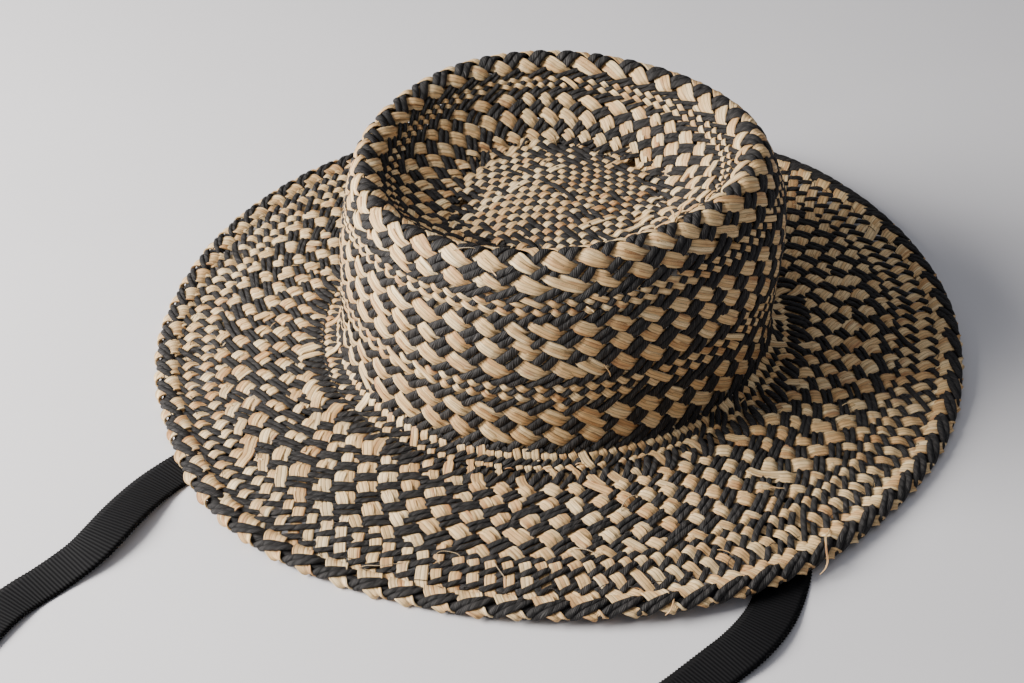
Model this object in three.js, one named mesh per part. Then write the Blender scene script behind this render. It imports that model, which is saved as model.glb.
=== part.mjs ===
// A straw boater hat: a woven crown with a sunken tip, a flat brim with soft waves, a plaited
// edge and two ribbon ties. It rests on its plaited edge. Millimetres, +Z up, the table at z = 0,
// the front towards -Y, the origin below the middle of the brim.
import * as THREE from 'three';

// Driving sizes
const headRadius = 90.2; // inside of the crown wall, for a head of 57 cm
const weaveThickness = 2.8; // two layers of strands and what lies between them
const crownHeight = 99.2; // table to the top of the fold round the tip
const crestSetIn = 12.4; // how far the top of the fold stands in from the wall
const dishDepth = 24.8; // top of the fold down to the floor of the sunken tip
const brimWidth = 84; // outer wall of the crown to the outside of the plaited edge
const brimLift = 7.2; // middle of the brim above the table where it leaves the crown
const baseTurn = 10.4; // width of the round turn from the wall into the brim
const plaitSize = 5.2; // thickness of the plaited edge
const edgeWave = 8.2; // how high the wavy edge lifts off the table
const seamGap = 0.3; // clearance where two woven pieces meet
const tieWidth = 19;
const tieThickness = 0.8;
const crownOffset = new THREE.Vector3(-1.65, -2.4, 0); // the crown stands a little off centre
const crownBelly = new THREE.Vector3(2.6, -0.3, 0); // how the wall bulges to one side

// The sunken tip. Shares of the fold's radius and of the depth of the dish, and how much of the
// fold's waves each ring takes.
const dishRows = [
  { out: 0, down: 0.9, wave: 0 },
  { out: 0.253, down: 0.952, wave: 0.05 },
  { out: 0.455, down: 1, wave: 0.2 },
  { out: 0.581, down: 0.944, wave: 0.4 },
  { out: 0.682, down: 0.79, wave: 0.6 },
  { out: 0.783, down: 0.565, wave: 0.8 },
  { out: 0.859, down: 0.371, wave: 0.9 },
  { out: 0.909, down: 0.226, wave: 0.95 },
  { out: 0.947, down: 0.089, wave: 1 },
  { out: 1, down: 0, wave: 1 },
];

// The wall under the fold. Shares of the fold's set-in, of the crown's height and of its belly.
const wallRows = [
  { setIn: 0.71, up: 0.975, belly: 0.2 },
  { setIn: 0.508, up: 0.925, belly: 0.4 },
  { setIn: 0.274, up: 0.838, belly: 0.75 },
  { setIn: 0.105, up: 0.746, belly: 1 },
  { setIn: 0, up: 0.613, belly: 0.85 },
  { setIn: -0.016, up: 0.46, belly: 0.6 },
  { setIn: -0.016, up: 0.307, belly: 0.3 },
  { setIn: -0.02, up: 0.184, belly: 0.1 },
];

// The turn from the wall into the brim. Shares of the turn's width.
const turnRows = [
  { out: 0.154, up: 0.423 },
  { out: 0.481, up: 0.106 },
  { out: 1, up: 0 },
  { out: 1.67, up: 0 },
];

// The crown seen from above, a row every 30 degrees counter-clockwise from +X. Girth is a share
// of the radius, rise a share of the crown's height by which the fold stands above its mean.
const crownRows = [
  { girth: 1.026, rise: 0.027 },
  { girth: 1.019, rise: 0.005 },
  { girth: 0.998, rise: -0.001 },
  { girth: 0.987, rise: 0.012 },
  { girth: 0.985, rise: 0.013 },
  { girth: 0.989, rise: -0.014 },
  { girth: 1.009, rise: -0.042 },
  { girth: 1.028, rise: -0.04 },
  { girth: 1.015, rise: -0.019 },
  { girth: 0.978, rise: 0.003 },
  { girth: 0.967, rise: 0.023 },
  { girth: 0.998, rise: 0.035 },
];

// The brim's edge, a row every 22.5 degrees counter-clockwise from +X. Reach is a share of the
// brim's width, lift a share of the edge's wave.
const edgeRows = [
  { reach: 1.004, lift: 0.707 },
  { reach: 0.993, lift: 1 },
  { reach: 1.014, lift: 0.829 },
  { reach: 1.001, lift: 0.341 },
  { reach: 0.994, lift: -0.049 },
  { reach: 0.987, lift: 0.22 },
  { reach: 0.97, lift: 0.463 },
  { reach: 0.976, lift: 0.366 },
  { reach: 1.004, lift: -0.037 },
  { reach: 1.01, lift: 0.171 },
  { reach: 1.069, lift: 0.195 },
  { reach: 1, lift: -0.037 },
  { reach: 0.995, lift: 0.293 },
  { reach: 1.012, lift: 0.366 },
  { reach: 0.975, lift: 0.037 },
  { reach: 0.998, lift: 0.037 },
];

// The two ties, from under the crown's head line, over the table and out past the brim.
const tieRoutes = {
  tie_left: [
    [-92, -44.5, 5.3], [-99.5, -48.6, 4], [-107.2, -53, 2.6], [-115, -58, 1.2],
    [-123.6, -63.9, 0.5], [-132.5, -71, 0.5], [-141.4, -79, 0.5], [-150, -87.4, 0.5],
    [-157.6, -95.5, 0.7], [-163.8, -104.3, 1.6], [-168.7, -114, 3], [-172.9, -123.5, 4],
    [-177.1, -132.4, 3.9], [-182, -140.2, 2.8], [-188.3, -146.9, 1.4], [-194.9, -153.6, 0.6],
    [-201.5, -160.6, 0.7], [-207.3, -168.8, 1.5], [-211.9, -177.6, 1.6], [-215.4, -186.8, 0.9],
  ],
  tie_right: [
    [61.9, -73, 5.5], [67.6, -79.6, 4.3], [72.9, -87.3, 2.9], [77.2, -95.9, 1.3],
    [80.5, -104.8, 0.5], [82.9, -113.9, 0.5], [84.3, -122.9, 0.5], [84.7, -132, 0.5],
    [84.2, -141, 0.5], [82.8, -149.5, 0.5], [80.3, -157.4, 0.6], [77.3, -165, 0.9],
    [72.9, -173.8, 1.6], [67.3, -182, 2.2], [60.9, -189, 2], [54.2, -194.6, 1.3],
    [47.3, -200.4, 0.7], [40, -206.8, 0.5], [32.4, -213.2, 0.5], [28, -217, 0.5],
  ],
};

// Sizes worked out from the driving sizes
const wallRadius = headRadius + weaveThickness / 2;
const crestRadius = wallRadius - crestSetIn;
const crestHeight = crownHeight - weaveThickness / 2;
const outerWallRadius = headRadius + weaveThickness;
const segments = 72; // steps round the hat
const smallStep = 1e-3; // for slopes of the surface

// The value at a share of the way between the two middle ones of four neighbours, on a smooth curve.
function smoothValue(before, start, end, after, share) {
  const slopeStart = (end - before) / 2;
  const slopeEnd = (after - start) / 2;
  const drop = start - end;
  return start + share * (slopeStart
    + share * (-3 * drop - 2 * slopeStart - slopeEnd
    + share * (2 * drop + slopeStart + slopeEnd)));
}

// A column of a table whose rows go right round the hat.
function roundTable(rows, column, angle) {
  const turns = angle / (2 * Math.PI);
  const place = (turns - Math.floor(turns)) * rows.length;
  const row = Math.floor(place);
  const value = (step) => rows[(row + step + rows.length) % rows.length][column];
  return smoothValue(value(-1), value(0), value(1), value(2), place - row);
}

// A column of a table whose rows start at one place and end at another.
function openTable(rows, column, place) {
  const row = Math.min(Math.floor(place), rows.length - 2);
  const value = (step) => rows[Math.min(Math.max(row + step, 0), rows.length - 1)][column];
  return smoothValue(value(-1), value(0), value(1), value(2), place - row);
}

// The crown's meridian from the centre of the tip to the end of the turn into the brim.
const meridianRows = [
  ...dishRows.map((row) => ({
    radius: crestRadius * row.out,
    height: crestHeight - dishDepth * row.down,
    wave: row.wave,
    belly: 0,
  })),
  ...wallRows.map((row) => ({
    radius: wallRadius - crestSetIn * row.setIn,
    height: crestHeight * row.up,
    wave: row.up,
    belly: row.belly,
  })),
  ...turnRows.map((row) => ({
    radius: wallRadius + baseTurn * row.out,
    height: brimLift + baseTurn * row.up,
    wave: 0,
    belly: 0,
  })),
];
const turnEnd = meridianRows.length - 2; // the last turn row only sets the slope there
const foldSeam = dishRows.length - 2; // where the tip meets the side, inside the fold
const foldEnd = dishRows.length + 1; // where the fold runs out into the wall
const wallEnd = dishRows.length + wallRows.length - 1; // the foot of the wall
const baseSeam = turnEnd - 1.5; // where the side meets the brim, inside the turn

// The middle of the weave on the crown.
function crownPoint(place, angle) {
  const radius = openTable(meridianRows, 'radius', place) * roundTable(crownRows, 'girth', angle);
  const rise = roundTable(crownRows, 'rise', angle) * openTable(meridianRows, 'wave', place);
  const height = openTable(meridianRows, 'height', place) + rise * crestHeight;
  return new THREE.Vector3(radius * Math.cos(angle), radius * Math.sin(angle), height)
    .add(crownOffset)
    .addScaledVector(crownBelly, openTable(meridianRows, 'belly', place));
}

// A point at the height of the plaited edge, a distance in from its outside.
function edgePoint(angle, inset) {
  const radius = outerWallRadius + brimWidth * roundTable(edgeRows, 'reach', angle) - inset;
  const height = plaitSize / 2 + edgeWave * roundTable(edgeRows, 'lift', angle);
  return new THREE.Vector3(radius * Math.cos(angle), radius * Math.sin(angle), height);
}

// The middle of the weave all the way: the crown up to turnEnd, then one step out over the brim.
function weavePoint(place, angle) {
  if (place <= turnEnd) return crownPoint(Math.max(place, 0), angle);
  const edge = edgePoint(angle, plaitSize + seamGap);
  return crownPoint(turnEnd, angle).lerp(edge, place - turnEnd);
}

// The direction that leaves the outer or upper side of the weave.
function weaveNormal(place, angle) {
  if (place < smallStep) return new THREE.Vector3(0, 0, 1);
  const along = weavePoint(place + smallStep, angle).sub(weavePoint(place - smallStep, angle));
  const round = weavePoint(place, angle + smallStep).sub(weavePoint(place, angle - smallStep));
  return along.cross(round).normalize();
}

// The step in place that goes half a seam gap along the weave, measured on the hat's right.
function halfGapStep(place) {
  const reach = weavePoint(place + smallStep, 0).distanceTo(weavePoint(place - smallStep, 0));
  return (seamGap / 2) * (2 * smallStep) / reach;
}

// Places from one to another in a number of equal steps, both ends among them.
function evenPlaces(from, to, steps) {
  return Array.from({ length: steps + 1 }, (_, step) => from + ((to - from) * step) / steps);
}

function finish(name, colour, roughness, positions, triangles) {
  const geometry = new THREE.BufferGeometry();
  geometry.setAttribute('position', new THREE.Float32BufferAttribute(positions.flat(), 3));
  geometry.setIndex(triangles);
  geometry.computeVertexNormals();
  const material = new THREE.MeshStandardMaterial({ color: colour, roughness, metalness: 0 });
  const mesh = new THREE.Mesh(geometry, material);
  mesh.name = name;
  return mesh;
}

// Two triangles between two neighbouring rings of points.
function addQuad(triangles, first, second, step, count) {
  const next = (step + 1) % count;
  triangles.push(first + step, second + step, second + next);
  triangles.push(first + step, second + next, first + next);
}

// A closed body from rings of points, each ring joined to the next and the last to the first.
function ringBody(rings, triangles, positions) {
  rings.forEach((ring) => positions.push(...ring.map((point) => point.toArray())));
  rings.forEach((ring, index) => {
    const next = (index + 1) % rings.length;
    for (let step = 0; step < ring.length; step += 1) {
      addQuad(triangles, index * ring.length, next * ring.length, step, ring.length);
    }
  });
}

function skinRing(place, side) {
  const ring = [];
  for (let step = 0; step < segments; step += 1) {
    const angle = (step / segments) * 2 * Math.PI;
    ring.push(weavePoint(place, angle)
      .addScaledVector(weaveNormal(place, angle), (side * weaveThickness) / 2));
  }
  return ring;
}

// A piece of the weave between two places, open in the middle.
function wovenRing(name, colour, places) {
  const outer = places.map((place) => skinRing(place, 1));
  const inner = places.map((place) => skinRing(place, -1)).reverse();
  const positions = [];
  const triangles = [];
  ringBody([...outer, ...inner], triangles, positions);
  return finish(name, colour, 0.85, positions, triangles);
}

// A piece of the weave from the centre of the tip out to the last place.
function wovenDisc(name, colour, places) {
  const outer = places.map((place) => skinRing(place, 1));
  const inner = places.map((place) => skinRing(place, -1)).reverse();
  const rings = [...outer, ...inner];
  const positions = rings.flatMap((ring) => ring.map((point) => point.toArray()));
  const triangles = [];
  for (let index = 0; index < rings.length - 1; index += 1) {
    for (let step = 0; step < segments; step += 1) {
      addQuad(triangles, index * segments, (index + 1) * segments, step, segments);
    }
  }
  const top = positions.length;
  const bottom = top + 1;
  const last = (rings.length - 1) * segments;
  for (const side of [1, -1]) {
    const centre = weavePoint(0, 0).addScaledVector(weaveNormal(0, 0), (side * weaveThickness) / 2);
    positions.push(centre.toArray());
  }
  for (let step = 0; step < segments; step += 1) {
    const next = (step + 1) % segments;
    triangles.push(top, step, next);
    triangles.push(bottom, last + next, last + step);
  }
  return finish(name, colour, 0.85, positions, triangles);
}

// The plaited edge: an eight-sided cord round the brim, pressed flat where it meets the table.
function plaitedEdge(name, colour) {
  const sides = 8;
  const cornerRadius = plaitSize / 2 / Math.cos(Math.PI / sides);
  const rings = [];
  for (let side = 0; side < sides; side += 1) {
    const turn = ((0.5 - side) / sides) * 2 * Math.PI;
    const inset = plaitSize / 2 - cornerRadius * Math.cos(turn);
    const ring = [];
    for (let step = 0; step < segments; step += 1) {
      const point = edgePoint((step / segments) * 2 * Math.PI, inset);
      point.z = Math.max(0, point.z + cornerRadius * Math.sin(turn));
      ring.push(point);
    }
    rings.push(ring);
  }
  const positions = [];
  const triangles = [];
  ringBody(rings, triangles, positions);
  return finish(name, colour, 0.85, positions, triangles);
}

// A flat ribbon along its route, with its corners cut off so that the section has eight sides.
function ribbonTie(name, colour, route) {
  const half = new THREE.Vector2(tieWidth / 2, tieThickness / 2);
  const corner = tieThickness / 4;
  const section = [
    [half.x, corner], [half.x - corner, half.y], [corner - half.x, half.y], [-half.x, corner],
    [-half.x, -corner], [corner - half.x, -half.y], [half.x - corner, -half.y], [half.x, -corner],
  ];
  const points = route.map((point) => new THREE.Vector3(...point));
  const positions = [];
  const triangles = [];
  points.forEach((point, index) => {
    const before = points[Math.max(index - 1, 0)];
    const after = points[Math.min(index + 1, points.length - 1)];
    const ahead = after.clone().sub(before).normalize();
    const across = new THREE.Vector3(ahead.y, -ahead.x, 0).normalize();
    const up = across.clone().cross(ahead);
    for (const [x, y] of section) {
      const corner3d = point.clone().addScaledVector(across, x).addScaledVector(up, y);
      positions.push(corner3d.toArray());
    }
    if (index === 0) return;
    const first = (index - 1) * section.length;
    for (let step = 0; step < section.length; step += 1) {
      addQuad(triangles, first, first + section.length, step, section.length);
    }
  });
  const last = (points.length - 1) * section.length;
  for (let step = 1; step < section.length - 1; step += 1) {
    triangles.push(0, step, step + 1);
    triangles.push(last, last + step + 1, last + step);
  }
  return finish(name, colour, 0.7, positions, triangles);
}

const strawColour = 0xc9ab7c;
const edgeColour = 0x8c7859;
const ribbonColour = 0x1d1c1f;

const hat = new THREE.Group();
hat.name = 'straw_boater_hat';

const foldStep = halfGapStep(foldSeam);
const baseStep = halfGapStep(baseSeam);
const tipPlaces = evenPlaces(1, foldSeam - foldStep, 7);
const sidePlaces = [
  ...evenPlaces(foldSeam + foldStep, foldEnd, 6),
  ...evenPlaces(foldEnd + 1, wallEnd, 4),
  ...evenPlaces(wallEnd + 0.5, baseSeam - baseStep, 2),
];
const brimPlaces = [
  ...evenPlaces(baseSeam + baseStep, turnEnd, 3),
  ...evenPlaces(turnEnd + 0.5, turnEnd + 1, 1),
];

hat.add(wovenDisc('crown_tip', strawColour, tipPlaces));
hat.add(wovenRing('crown_side', strawColour, sidePlaces));
hat.add(wovenRing('brim', strawColour, brimPlaces));
hat.add(plaitedEdge('brim_edge', edgeColour));
for (const [name, route] of Object.entries(tieRoutes)) hat.add(ribbonTie(name, ribbonColour, route));

export default hat;
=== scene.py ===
"""The looks of the straw boater hat: woven straw, plaited edge and ribbon ties.

It runs in Blender 4.5 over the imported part. Lengths are metres unless a name says millimetres.
The weave is made of two families of strands. Natural straw strips run outwards anticlockwise,
and black twisted cords run outwards clockwise. They cross in rings of fine and of coarse check.
"""

import logging
import math
from dataclasses import dataclass, field
from enum import Enum
from typing import Any

import bpy
import numpy as np
from mathutils import Matrix

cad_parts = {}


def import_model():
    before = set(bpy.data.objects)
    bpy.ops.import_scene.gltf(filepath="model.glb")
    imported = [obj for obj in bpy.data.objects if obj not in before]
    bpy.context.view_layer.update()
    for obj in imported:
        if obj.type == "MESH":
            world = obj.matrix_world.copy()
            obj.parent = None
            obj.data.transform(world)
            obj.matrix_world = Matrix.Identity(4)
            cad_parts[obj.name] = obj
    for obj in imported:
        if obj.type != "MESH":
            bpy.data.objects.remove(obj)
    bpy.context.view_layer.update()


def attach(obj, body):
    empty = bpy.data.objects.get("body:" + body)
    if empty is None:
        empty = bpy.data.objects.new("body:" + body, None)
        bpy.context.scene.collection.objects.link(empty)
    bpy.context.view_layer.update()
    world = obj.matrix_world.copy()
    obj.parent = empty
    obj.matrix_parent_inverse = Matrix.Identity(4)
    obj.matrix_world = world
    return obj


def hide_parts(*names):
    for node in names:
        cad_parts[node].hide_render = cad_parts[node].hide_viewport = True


MM = 0.001
TURN = 2 * math.pi
LOG = logging.getLogger("straw_boater_hat")


# Camera and light


@dataclass(frozen=True)
class PhotoCamera:
    """The photograph's viewpoint.

    Args:
        place: where the camera stands.
        tilt: how far it looks down, in radians.
        roll: its turn about its own line of sight, in radians.
        lens_mm: focal length.
        sensor_mm: width of the sensor.
        nearest: how near it can see.
    """

    place: tuple[float, float, float] = (-0.020348, -0.559511, 0.431451)
    tilt: float = math.radians(38.0568)
    roll: float = math.radians(-0.2045)
    lens_mm: float = 55.0
    sensor_mm: float = 36.0
    nearest: float = 0.01

    def build(self) -> None:
        """Makes the camera the scene's own."""
        data = bpy.data.cameras.new("photo_camera")
        data.lens = self.lens_mm
        data.sensor_width = self.sensor_mm
        data.sensor_fit = "HORIZONTAL"
        data.clip_start = self.nearest
        camera = bpy.data.objects.new("photo_camera", data)
        turned = Matrix.Rotation(math.pi / 2 - self.tilt, 4, "X") @ Matrix.Rotation(self.roll, 4, "Z")
        camera.matrix_world = Matrix.Translation(self.place) @ turned
        bpy.context.scene.collection.objects.link(camera)
        bpy.context.scene.camera = camera


@dataclass(frozen=True)
class SoftBox:
    """A large soft lamp that looks at the hat.

    Args:
        name: its name.
        place: its centre.
        size: its side.
        power: its strength in watts.
        colour: its light's colour.
        target: the point that it faces.
    """

    name: str
    place: tuple[float, float, float]
    size: float
    power: float
    colour: tuple[float, float, float]
    target: tuple[float, float, float] = (0.0, 0.0, 0.03)

    def build(self) -> None:
        """Makes the lamp, turned to its target."""
        data = bpy.data.lights.new(self.name, "AREA")
        data.shape = "SQUARE"
        data.size = self.size
        data.energy = self.power
        data.color = self.colour
        lamp = bpy.data.objects.new(self.name, data)
        place = np.array(self.place)
        back = place - np.array(self.target)
        back = back / np.linalg.norm(back)
        side = np.cross((0.0, 0.0, 1.0), back)
        side = side / np.linalg.norm(side)
        up = np.cross(back, side)
        lamp.matrix_world = Matrix(
            [[side[k], up[k], back[k], place[k]] for k in range(3)] + [[0.0, 0.0, 0.0, 1.0]]
        )
        bpy.context.scene.collection.objects.link(lamp)


# Node trees


class NodeDesk:
    """Adds nodes to one tree and links them."""

    def __init__(self, tree: bpy.types.NodeTree) -> None:
        """Keeps the tree."""
        self.tree = tree

    def add(self, kind: str, feeds: dict[Any, Any] | None = None, **settings: Any) -> bpy.types.Node:
        """Adds a node.

        Args:
            kind: the node's type name.
            feeds: its inputs by name or number, each a value or another node's output.
            settings: properties of the node itself.

        Returns:
            The new node.
        """
        node = self.tree.nodes.new(kind)
        for name, value in settings.items():
            setattr(node, name, value)
        for key, value in (feeds or {}).items():
            socket = node.inputs[key]
            if isinstance(value, bpy.types.NodeSocket):
                self.tree.links.new(value, socket)
            else:
                socket.default_value = value
        return node

    def maths(self, deed: str, first: Any, second: Any = 0.0, third: Any = 0.0) -> bpy.types.NodeSocket:
        """Works out one number from up to three.

        Args:
            deed: the operation's name.
            first: the first number or output.
            second: the second.
            third: the third.

        Returns:
            The result's output.
        """
        feeds = {0: first, 1: second, 2: third}
        return self.add("ShaderNodeMath", feeds, operation=deed).outputs[0]

    def times(self, first: Any, second: Any) -> bpy.types.NodeSocket:
        """Multiplies two numbers."""
        return self.maths("MULTIPLY", first, second)

    def fused(self, first: Any, second: Any, third: Any) -> bpy.types.NodeSocket:
        """Multiplies two numbers and adds a third."""
        return self.maths("MULTIPLY_ADD", first, second, third)

    def trait(self, name: str) -> bpy.types.NodeSocket:
        """Reads a number that the mesh carries."""
        return self.add("ShaderNodeAttribute", attribute_name=name).outputs["Fac"]

    def chance(self, key: str, value: Any, space: str) -> bpy.types.NodeSocket:
        """Draws a number from 0 to 1 that is the same for the same value."""
        return self.add("ShaderNodeTexWhiteNoise", {key: value}, noise_dimensions=space).outputs["Value"]

    def grain(self, values: list[Any], rates: tuple[float, ...], detail: float) -> bpy.types.NodeSocket:
        """Reads a noise pattern at up to three numbers.

        Args:
            values: the numbers.
            rates: how fast the pattern changes with each.
            detail: its octaves.

        Returns:
            A number from 0 to 1.
        """
        scaled = [self.times(value, rate) for value, rate in zip(values, rates)]
        place = self.add("ShaderNodeCombineXYZ", dict(enumerate(scaled))).outputs[0]
        feeds = {"Vector": place, "Scale": 1.0, "Detail": detail}
        return self.add("ShaderNodeTexNoise", feeds).outputs["Fac"]

    def ramp(self, share: Any, places: tuple[float, ...], colours: list[Any]) -> bpy.types.NodeSocket:
        """Turns a number into a colour.

        Args:
            share: the number.
            places: places from 0 to 1.
            colours: the colour at each.

        Returns:
            The colour's output.
        """
        node = self.add("ShaderNodeValToRGB", {0: share})
        band = node.color_ramp
        while len(band.elements) < len(places):
            band.elements.new(0.5)
        for element, place, colour in zip(band.elements, places, colours):
            element.position = place
            element.color = (*colour, 1.0)
        return node.outputs["Color"]

    def blend(self, first: Any, second: Any, share: Any) -> bpy.types.NodeSocket:
        """Mixes two colours, from the first at 0 to the second at 1."""
        feeds = {"Factor": share, 6: first, 7: (*second, 1.0)}
        return self.add("ShaderNodeMix", feeds, data_type="RGBA").outputs[2]

    def shade(self, colour: Any, share: Any) -> bpy.types.NodeSocket:
        """Multiplies a colour by a number."""
        return self.add("ShaderNodeVectorMath", {0: colour, 3: share}, operation="SCALE").outputs[0]

    def relief(self, height: Any, strength: float, depth: float) -> bpy.types.NodeSocket:
        """Turns a height into a normal."""
        feeds = {"Strength": strength, "Distance": depth, "Height": height}
        return self.add("ShaderNodeBump", feeds).outputs[0]

    def skin(self, colour: Any, roughness: float, shine: float, normal: Any = None) -> None:
        """Ends the tree with a surface.

        Args:
            colour: its colour.
            roughness: how matt it is.
            shine: its specular level.
            normal: its normal where it isn't smooth.
        """
        feeds = {"Base Color": colour, "Roughness": roughness, "Specular IOR Level": shine}
        if normal is not None:
            feeds["Normal"] = normal
        surface = self.add("ShaderNodeBsdfPrincipled", feeds)
        self.add("ShaderNodeOutputMaterial", {"Surface": surface.outputs[0]})


def linear(red: float, green: float, blue: float) -> tuple[float, float, float]:
    """Turns a screen colour into a scene colour.

    Args:
        red: screen red, from 0 to 1.
        green: screen green.
        blue: screen blue.

    Returns:
        The same colour in linear light.
    """
    return tuple(c / 12.92 if c < 0.04045 else ((c + 0.055) / 1.055) ** 2.4 for c in (red, green, blue))


def new_material(name: str, view: tuple[float, float, float]) -> tuple[bpy.types.Material, NodeDesk]:
    """Starts an empty node material.

    Args:
        name: the material's name.
        view: its plain colour in the viewport.

    Returns:
        The material and the desk of its tree.
    """
    material = bpy.data.materials.new(name)
    material.use_nodes = True
    material.diffuse_color = (*view, 1.0)
    material.node_tree.nodes.clear()
    return material, NodeDesk(material.node_tree)


# Finishes


@dataclass(frozen=True)
class StrawFinish:
    """Flat natural straw, a few fibres side by side in each strip.

    Args:
        name: the material's name.
        fibre: width of one fibre.
        drift: how far its fibres lie aside from strip to strip.
        pale: its lightest colour.
        gold: its usual colour.
        tan: its darkest colour.
        rust: the colour of its stains and veins.
        tones: places of tan, gold and pale on the scale of tones.
        tone_start: the scale's start.
        tone_shares: weight of a fibre's own tone, its streaks, its patches and its strip's tone.
        streak_rate: how fast streaks change across, along and from strip to strip.
        patch_rate: how fast patches change from fibre to fibre, along and from strip to strip.
        stain_rate: how fast stains change across, along and from strip to strip.
        stain_from: level of the pattern where a stain begins.
        vein_rate: how fast veins change across, along and from strip to strip.
        vein_share: how strong a vein is in its middle.
        painted_side_shade: how dark a strip's sides are.
        roughness: of its skin.
    """

    name: str = "natural_straw"
    fibre: float = 1.6 * MM
    drift: float = 0.37
    pale: tuple[float, float, float] = linear(0.965, 0.865, 0.675)
    gold: tuple[float, float, float] = linear(0.89, 0.74, 0.52)
    tan: tuple[float, float, float] = linear(0.745, 0.53, 0.33)
    rust: tuple[float, float, float] = linear(0.62, 0.4, 0.26)
    tones: tuple[float, float, float] = (0.14, 0.48, 0.84)
    tone_start: float = 0.29
    tone_shares: tuple[float, float, float, float] = (0.26, 0.5, 0.5, 0.4)
    streak_rate: tuple[float, float, float] = (4200.0, 130.0, 91.0)
    patch_rate: tuple[float, float, float] = (3.7, 75.0, 57.0)
    stain_rate: tuple[float, float, float] = (300.0, 60.0, 33.0)
    stain_from: float = 0.6
    vein_rate: tuple[float, float, float] = (2600.0, 45.0, 47.0)
    # painted_side_shade: how much painted shade darkens a strip's sides.
    vein_share: float = 0.62
    painted_side_shade: float = 0.4
    roughness: float = 0.6

    def build(self) -> bpy.types.Material:
        """Makes the material.

        Returns:
            The material.
        """
        material, desk = new_material(self.name, self.gold)
        seed = desk.trait("strand_seed")
        along = desk.trait("along")
        side = desk.trait("section_x")
        across = desk.times(side, desk.trait("half_width"))
        place = desk.maths("DIVIDE", desk.fused(seed, self.drift, across), self.fibre)
        number = desk.maths("FLOOR", place)
        dome = desk.maths("PINGPONG", desk.maths("FRACT", place), 0.5)
        groove = desk.maths("SMOOTH_MIN", dome, 0.22, 0.1)
        own_place = desk.add("ShaderNodeCombineXYZ", {0: number, 1: seed}).outputs[0]
        own = desk.chance("Vector", own_place, "3D")
        strip = desk.chance("W", seed, "1D")
        streak = desk.grain([across, along, seed], self.streak_rate, 3.0)
        patch = desk.grain([number, along, seed], self.patch_rate, 1.0)
        tone = -self.tone_start
        for part, share in zip((own, streak, patch, strip), self.tone_shares):
            tone = desk.fused(part, share, tone)
        colour = desk.ramp(tone, self.tones, [self.tan, self.gold, self.pale])
        stain = desk.grain([across, along, seed], self.stain_rate, 2.0)
        stain = desk.times(desk.maths("SUBTRACT", stain, self.stain_from), 5.0)
        stain = desk.maths("MINIMUM", desk.maths("MAXIMUM", stain, 0.0), 0.6)
        colour = desk.blend(colour, self.rust, stain)
        vein = desk.grain([across, along, seed], self.vein_rate, 1.0)
        vein = desk.maths("ABSOLUTE", desk.maths("SUBTRACT", vein, 0.5))
        vein = desk.maths("MAXIMUM", desk.fused(vein, -16.0, self.vein_share), 0.0)
        colour = desk.blend(colour, self.rust, vein)
        # Painted shade: the colour is darkened in the grooves between fibres, to about half at a fibre's
        # edge, deeper for some fibres than others.
        painted_fibre_light = desk.maths("MINIMUM", desk.fused(groove, desk.fused(own, 1.8, 1.2), 0.55), 1.0)
        # Painted shade: each strip is darkened towards its sides, where shade falls at its edges.
        rim = desk.fused(desk.maths("POWER", desk.maths("ABSOLUTE", side), 6.0), -self.painted_side_shade, 1.0)
        colour = desk.shade(colour, desk.times(rim, painted_fibre_light))
        normal = desk.relief(desk.fused(streak, 0.3, groove), 0.9, 0.5 * MM)
        desk.skin(colour, self.roughness, 0.28, normal)
        return material


@dataclass(frozen=True)
class CordFinish:
    """Black twisted cord of two plies.

    Args:
        name: the material's name.
        lay: length of one turn of the twist.
        sway: how uneven the twist is, in radians.
        sway_rate: how fast that changes along a cord and from cord to cord.
        fibre_rate: how fast fibres change across the twist, along and from cord to cord.
        threads: fine threads in half a turn round a ply.
        dark: the colour of dark fibres and of the fine threads' grooves, partly painted shade.
        black: its usual colour.
        painted_fibre_light: the colour of pale fibres and of the fine threads' crests, partly a painted
            highlight.
        tones: places of dark, black and painted_fibre_light on the scale from dark to light.
        roughness: of its fibres.
    """

    name: str = "black_cord"
    lay: float = 9.5 * MM
    sway: float = 5.0
    sway_rate: tuple[float, float] = (110.0, 83.0)
    fibre_rate: tuple[float, float, float] = (3.4, 150.0, 71.0)
    threads: float = 9.0
    dark: tuple[float, float, float] = linear(0.055, 0.052, 0.052)
    black: tuple[float, float, float] = linear(0.135, 0.128, 0.127)
    painted_fibre_light: tuple[float, float, float] = linear(0.4, 0.38, 0.37)
    tones: tuple[float, float, float] = (0.08, 0.42, 0.8)
    roughness: float = 0.7

    def build(self) -> bpy.types.Material:
        """Makes the material.

        Returns:
            The material.
        """
        material, desk = new_material(self.name, self.dark)
        seed = desk.trait("strand_seed")
        along = desk.trait("along")
        angle = desk.maths("ARCTAN2", desk.trait("section_y"), desk.trait("section_x"))
        angle = desk.fused(desk.grain([along, seed], self.sway_rate, 2.0), self.sway, angle)
        angle = desk.fused(seed, TURN, desk.fused(along, TURN / self.lay, angle))
        ply = desk.maths("ABSOLUTE", desk.maths("SINE", angle))
        thread = desk.fused(desk.maths("SINE", desk.times(angle, self.threads)), 0.5, 0.5)
        fibre = desk.grain([angle, along, seed], self.fibre_rate, 3.0)
        # Random fibre tone, lighter on the crests of the fine threads as a painted highlight and darker in
        # their grooves as painted shade.
        fibre_tone_and_crest_light = desk.times(desk.fused(thread, 0.5, 0.5), fibre)
        colour = desk.ramp(fibre_tone_and_crest_light, self.tones, [self.dark, self.black, self.painted_fibre_light])
        height = desk.fused(thread, 0.35, desk.fused(fibre, 1.1, ply))
        desk.skin(colour, self.roughness, 0.3, desk.relief(height, 1.0, 0.5 * MM))
        return material


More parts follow.
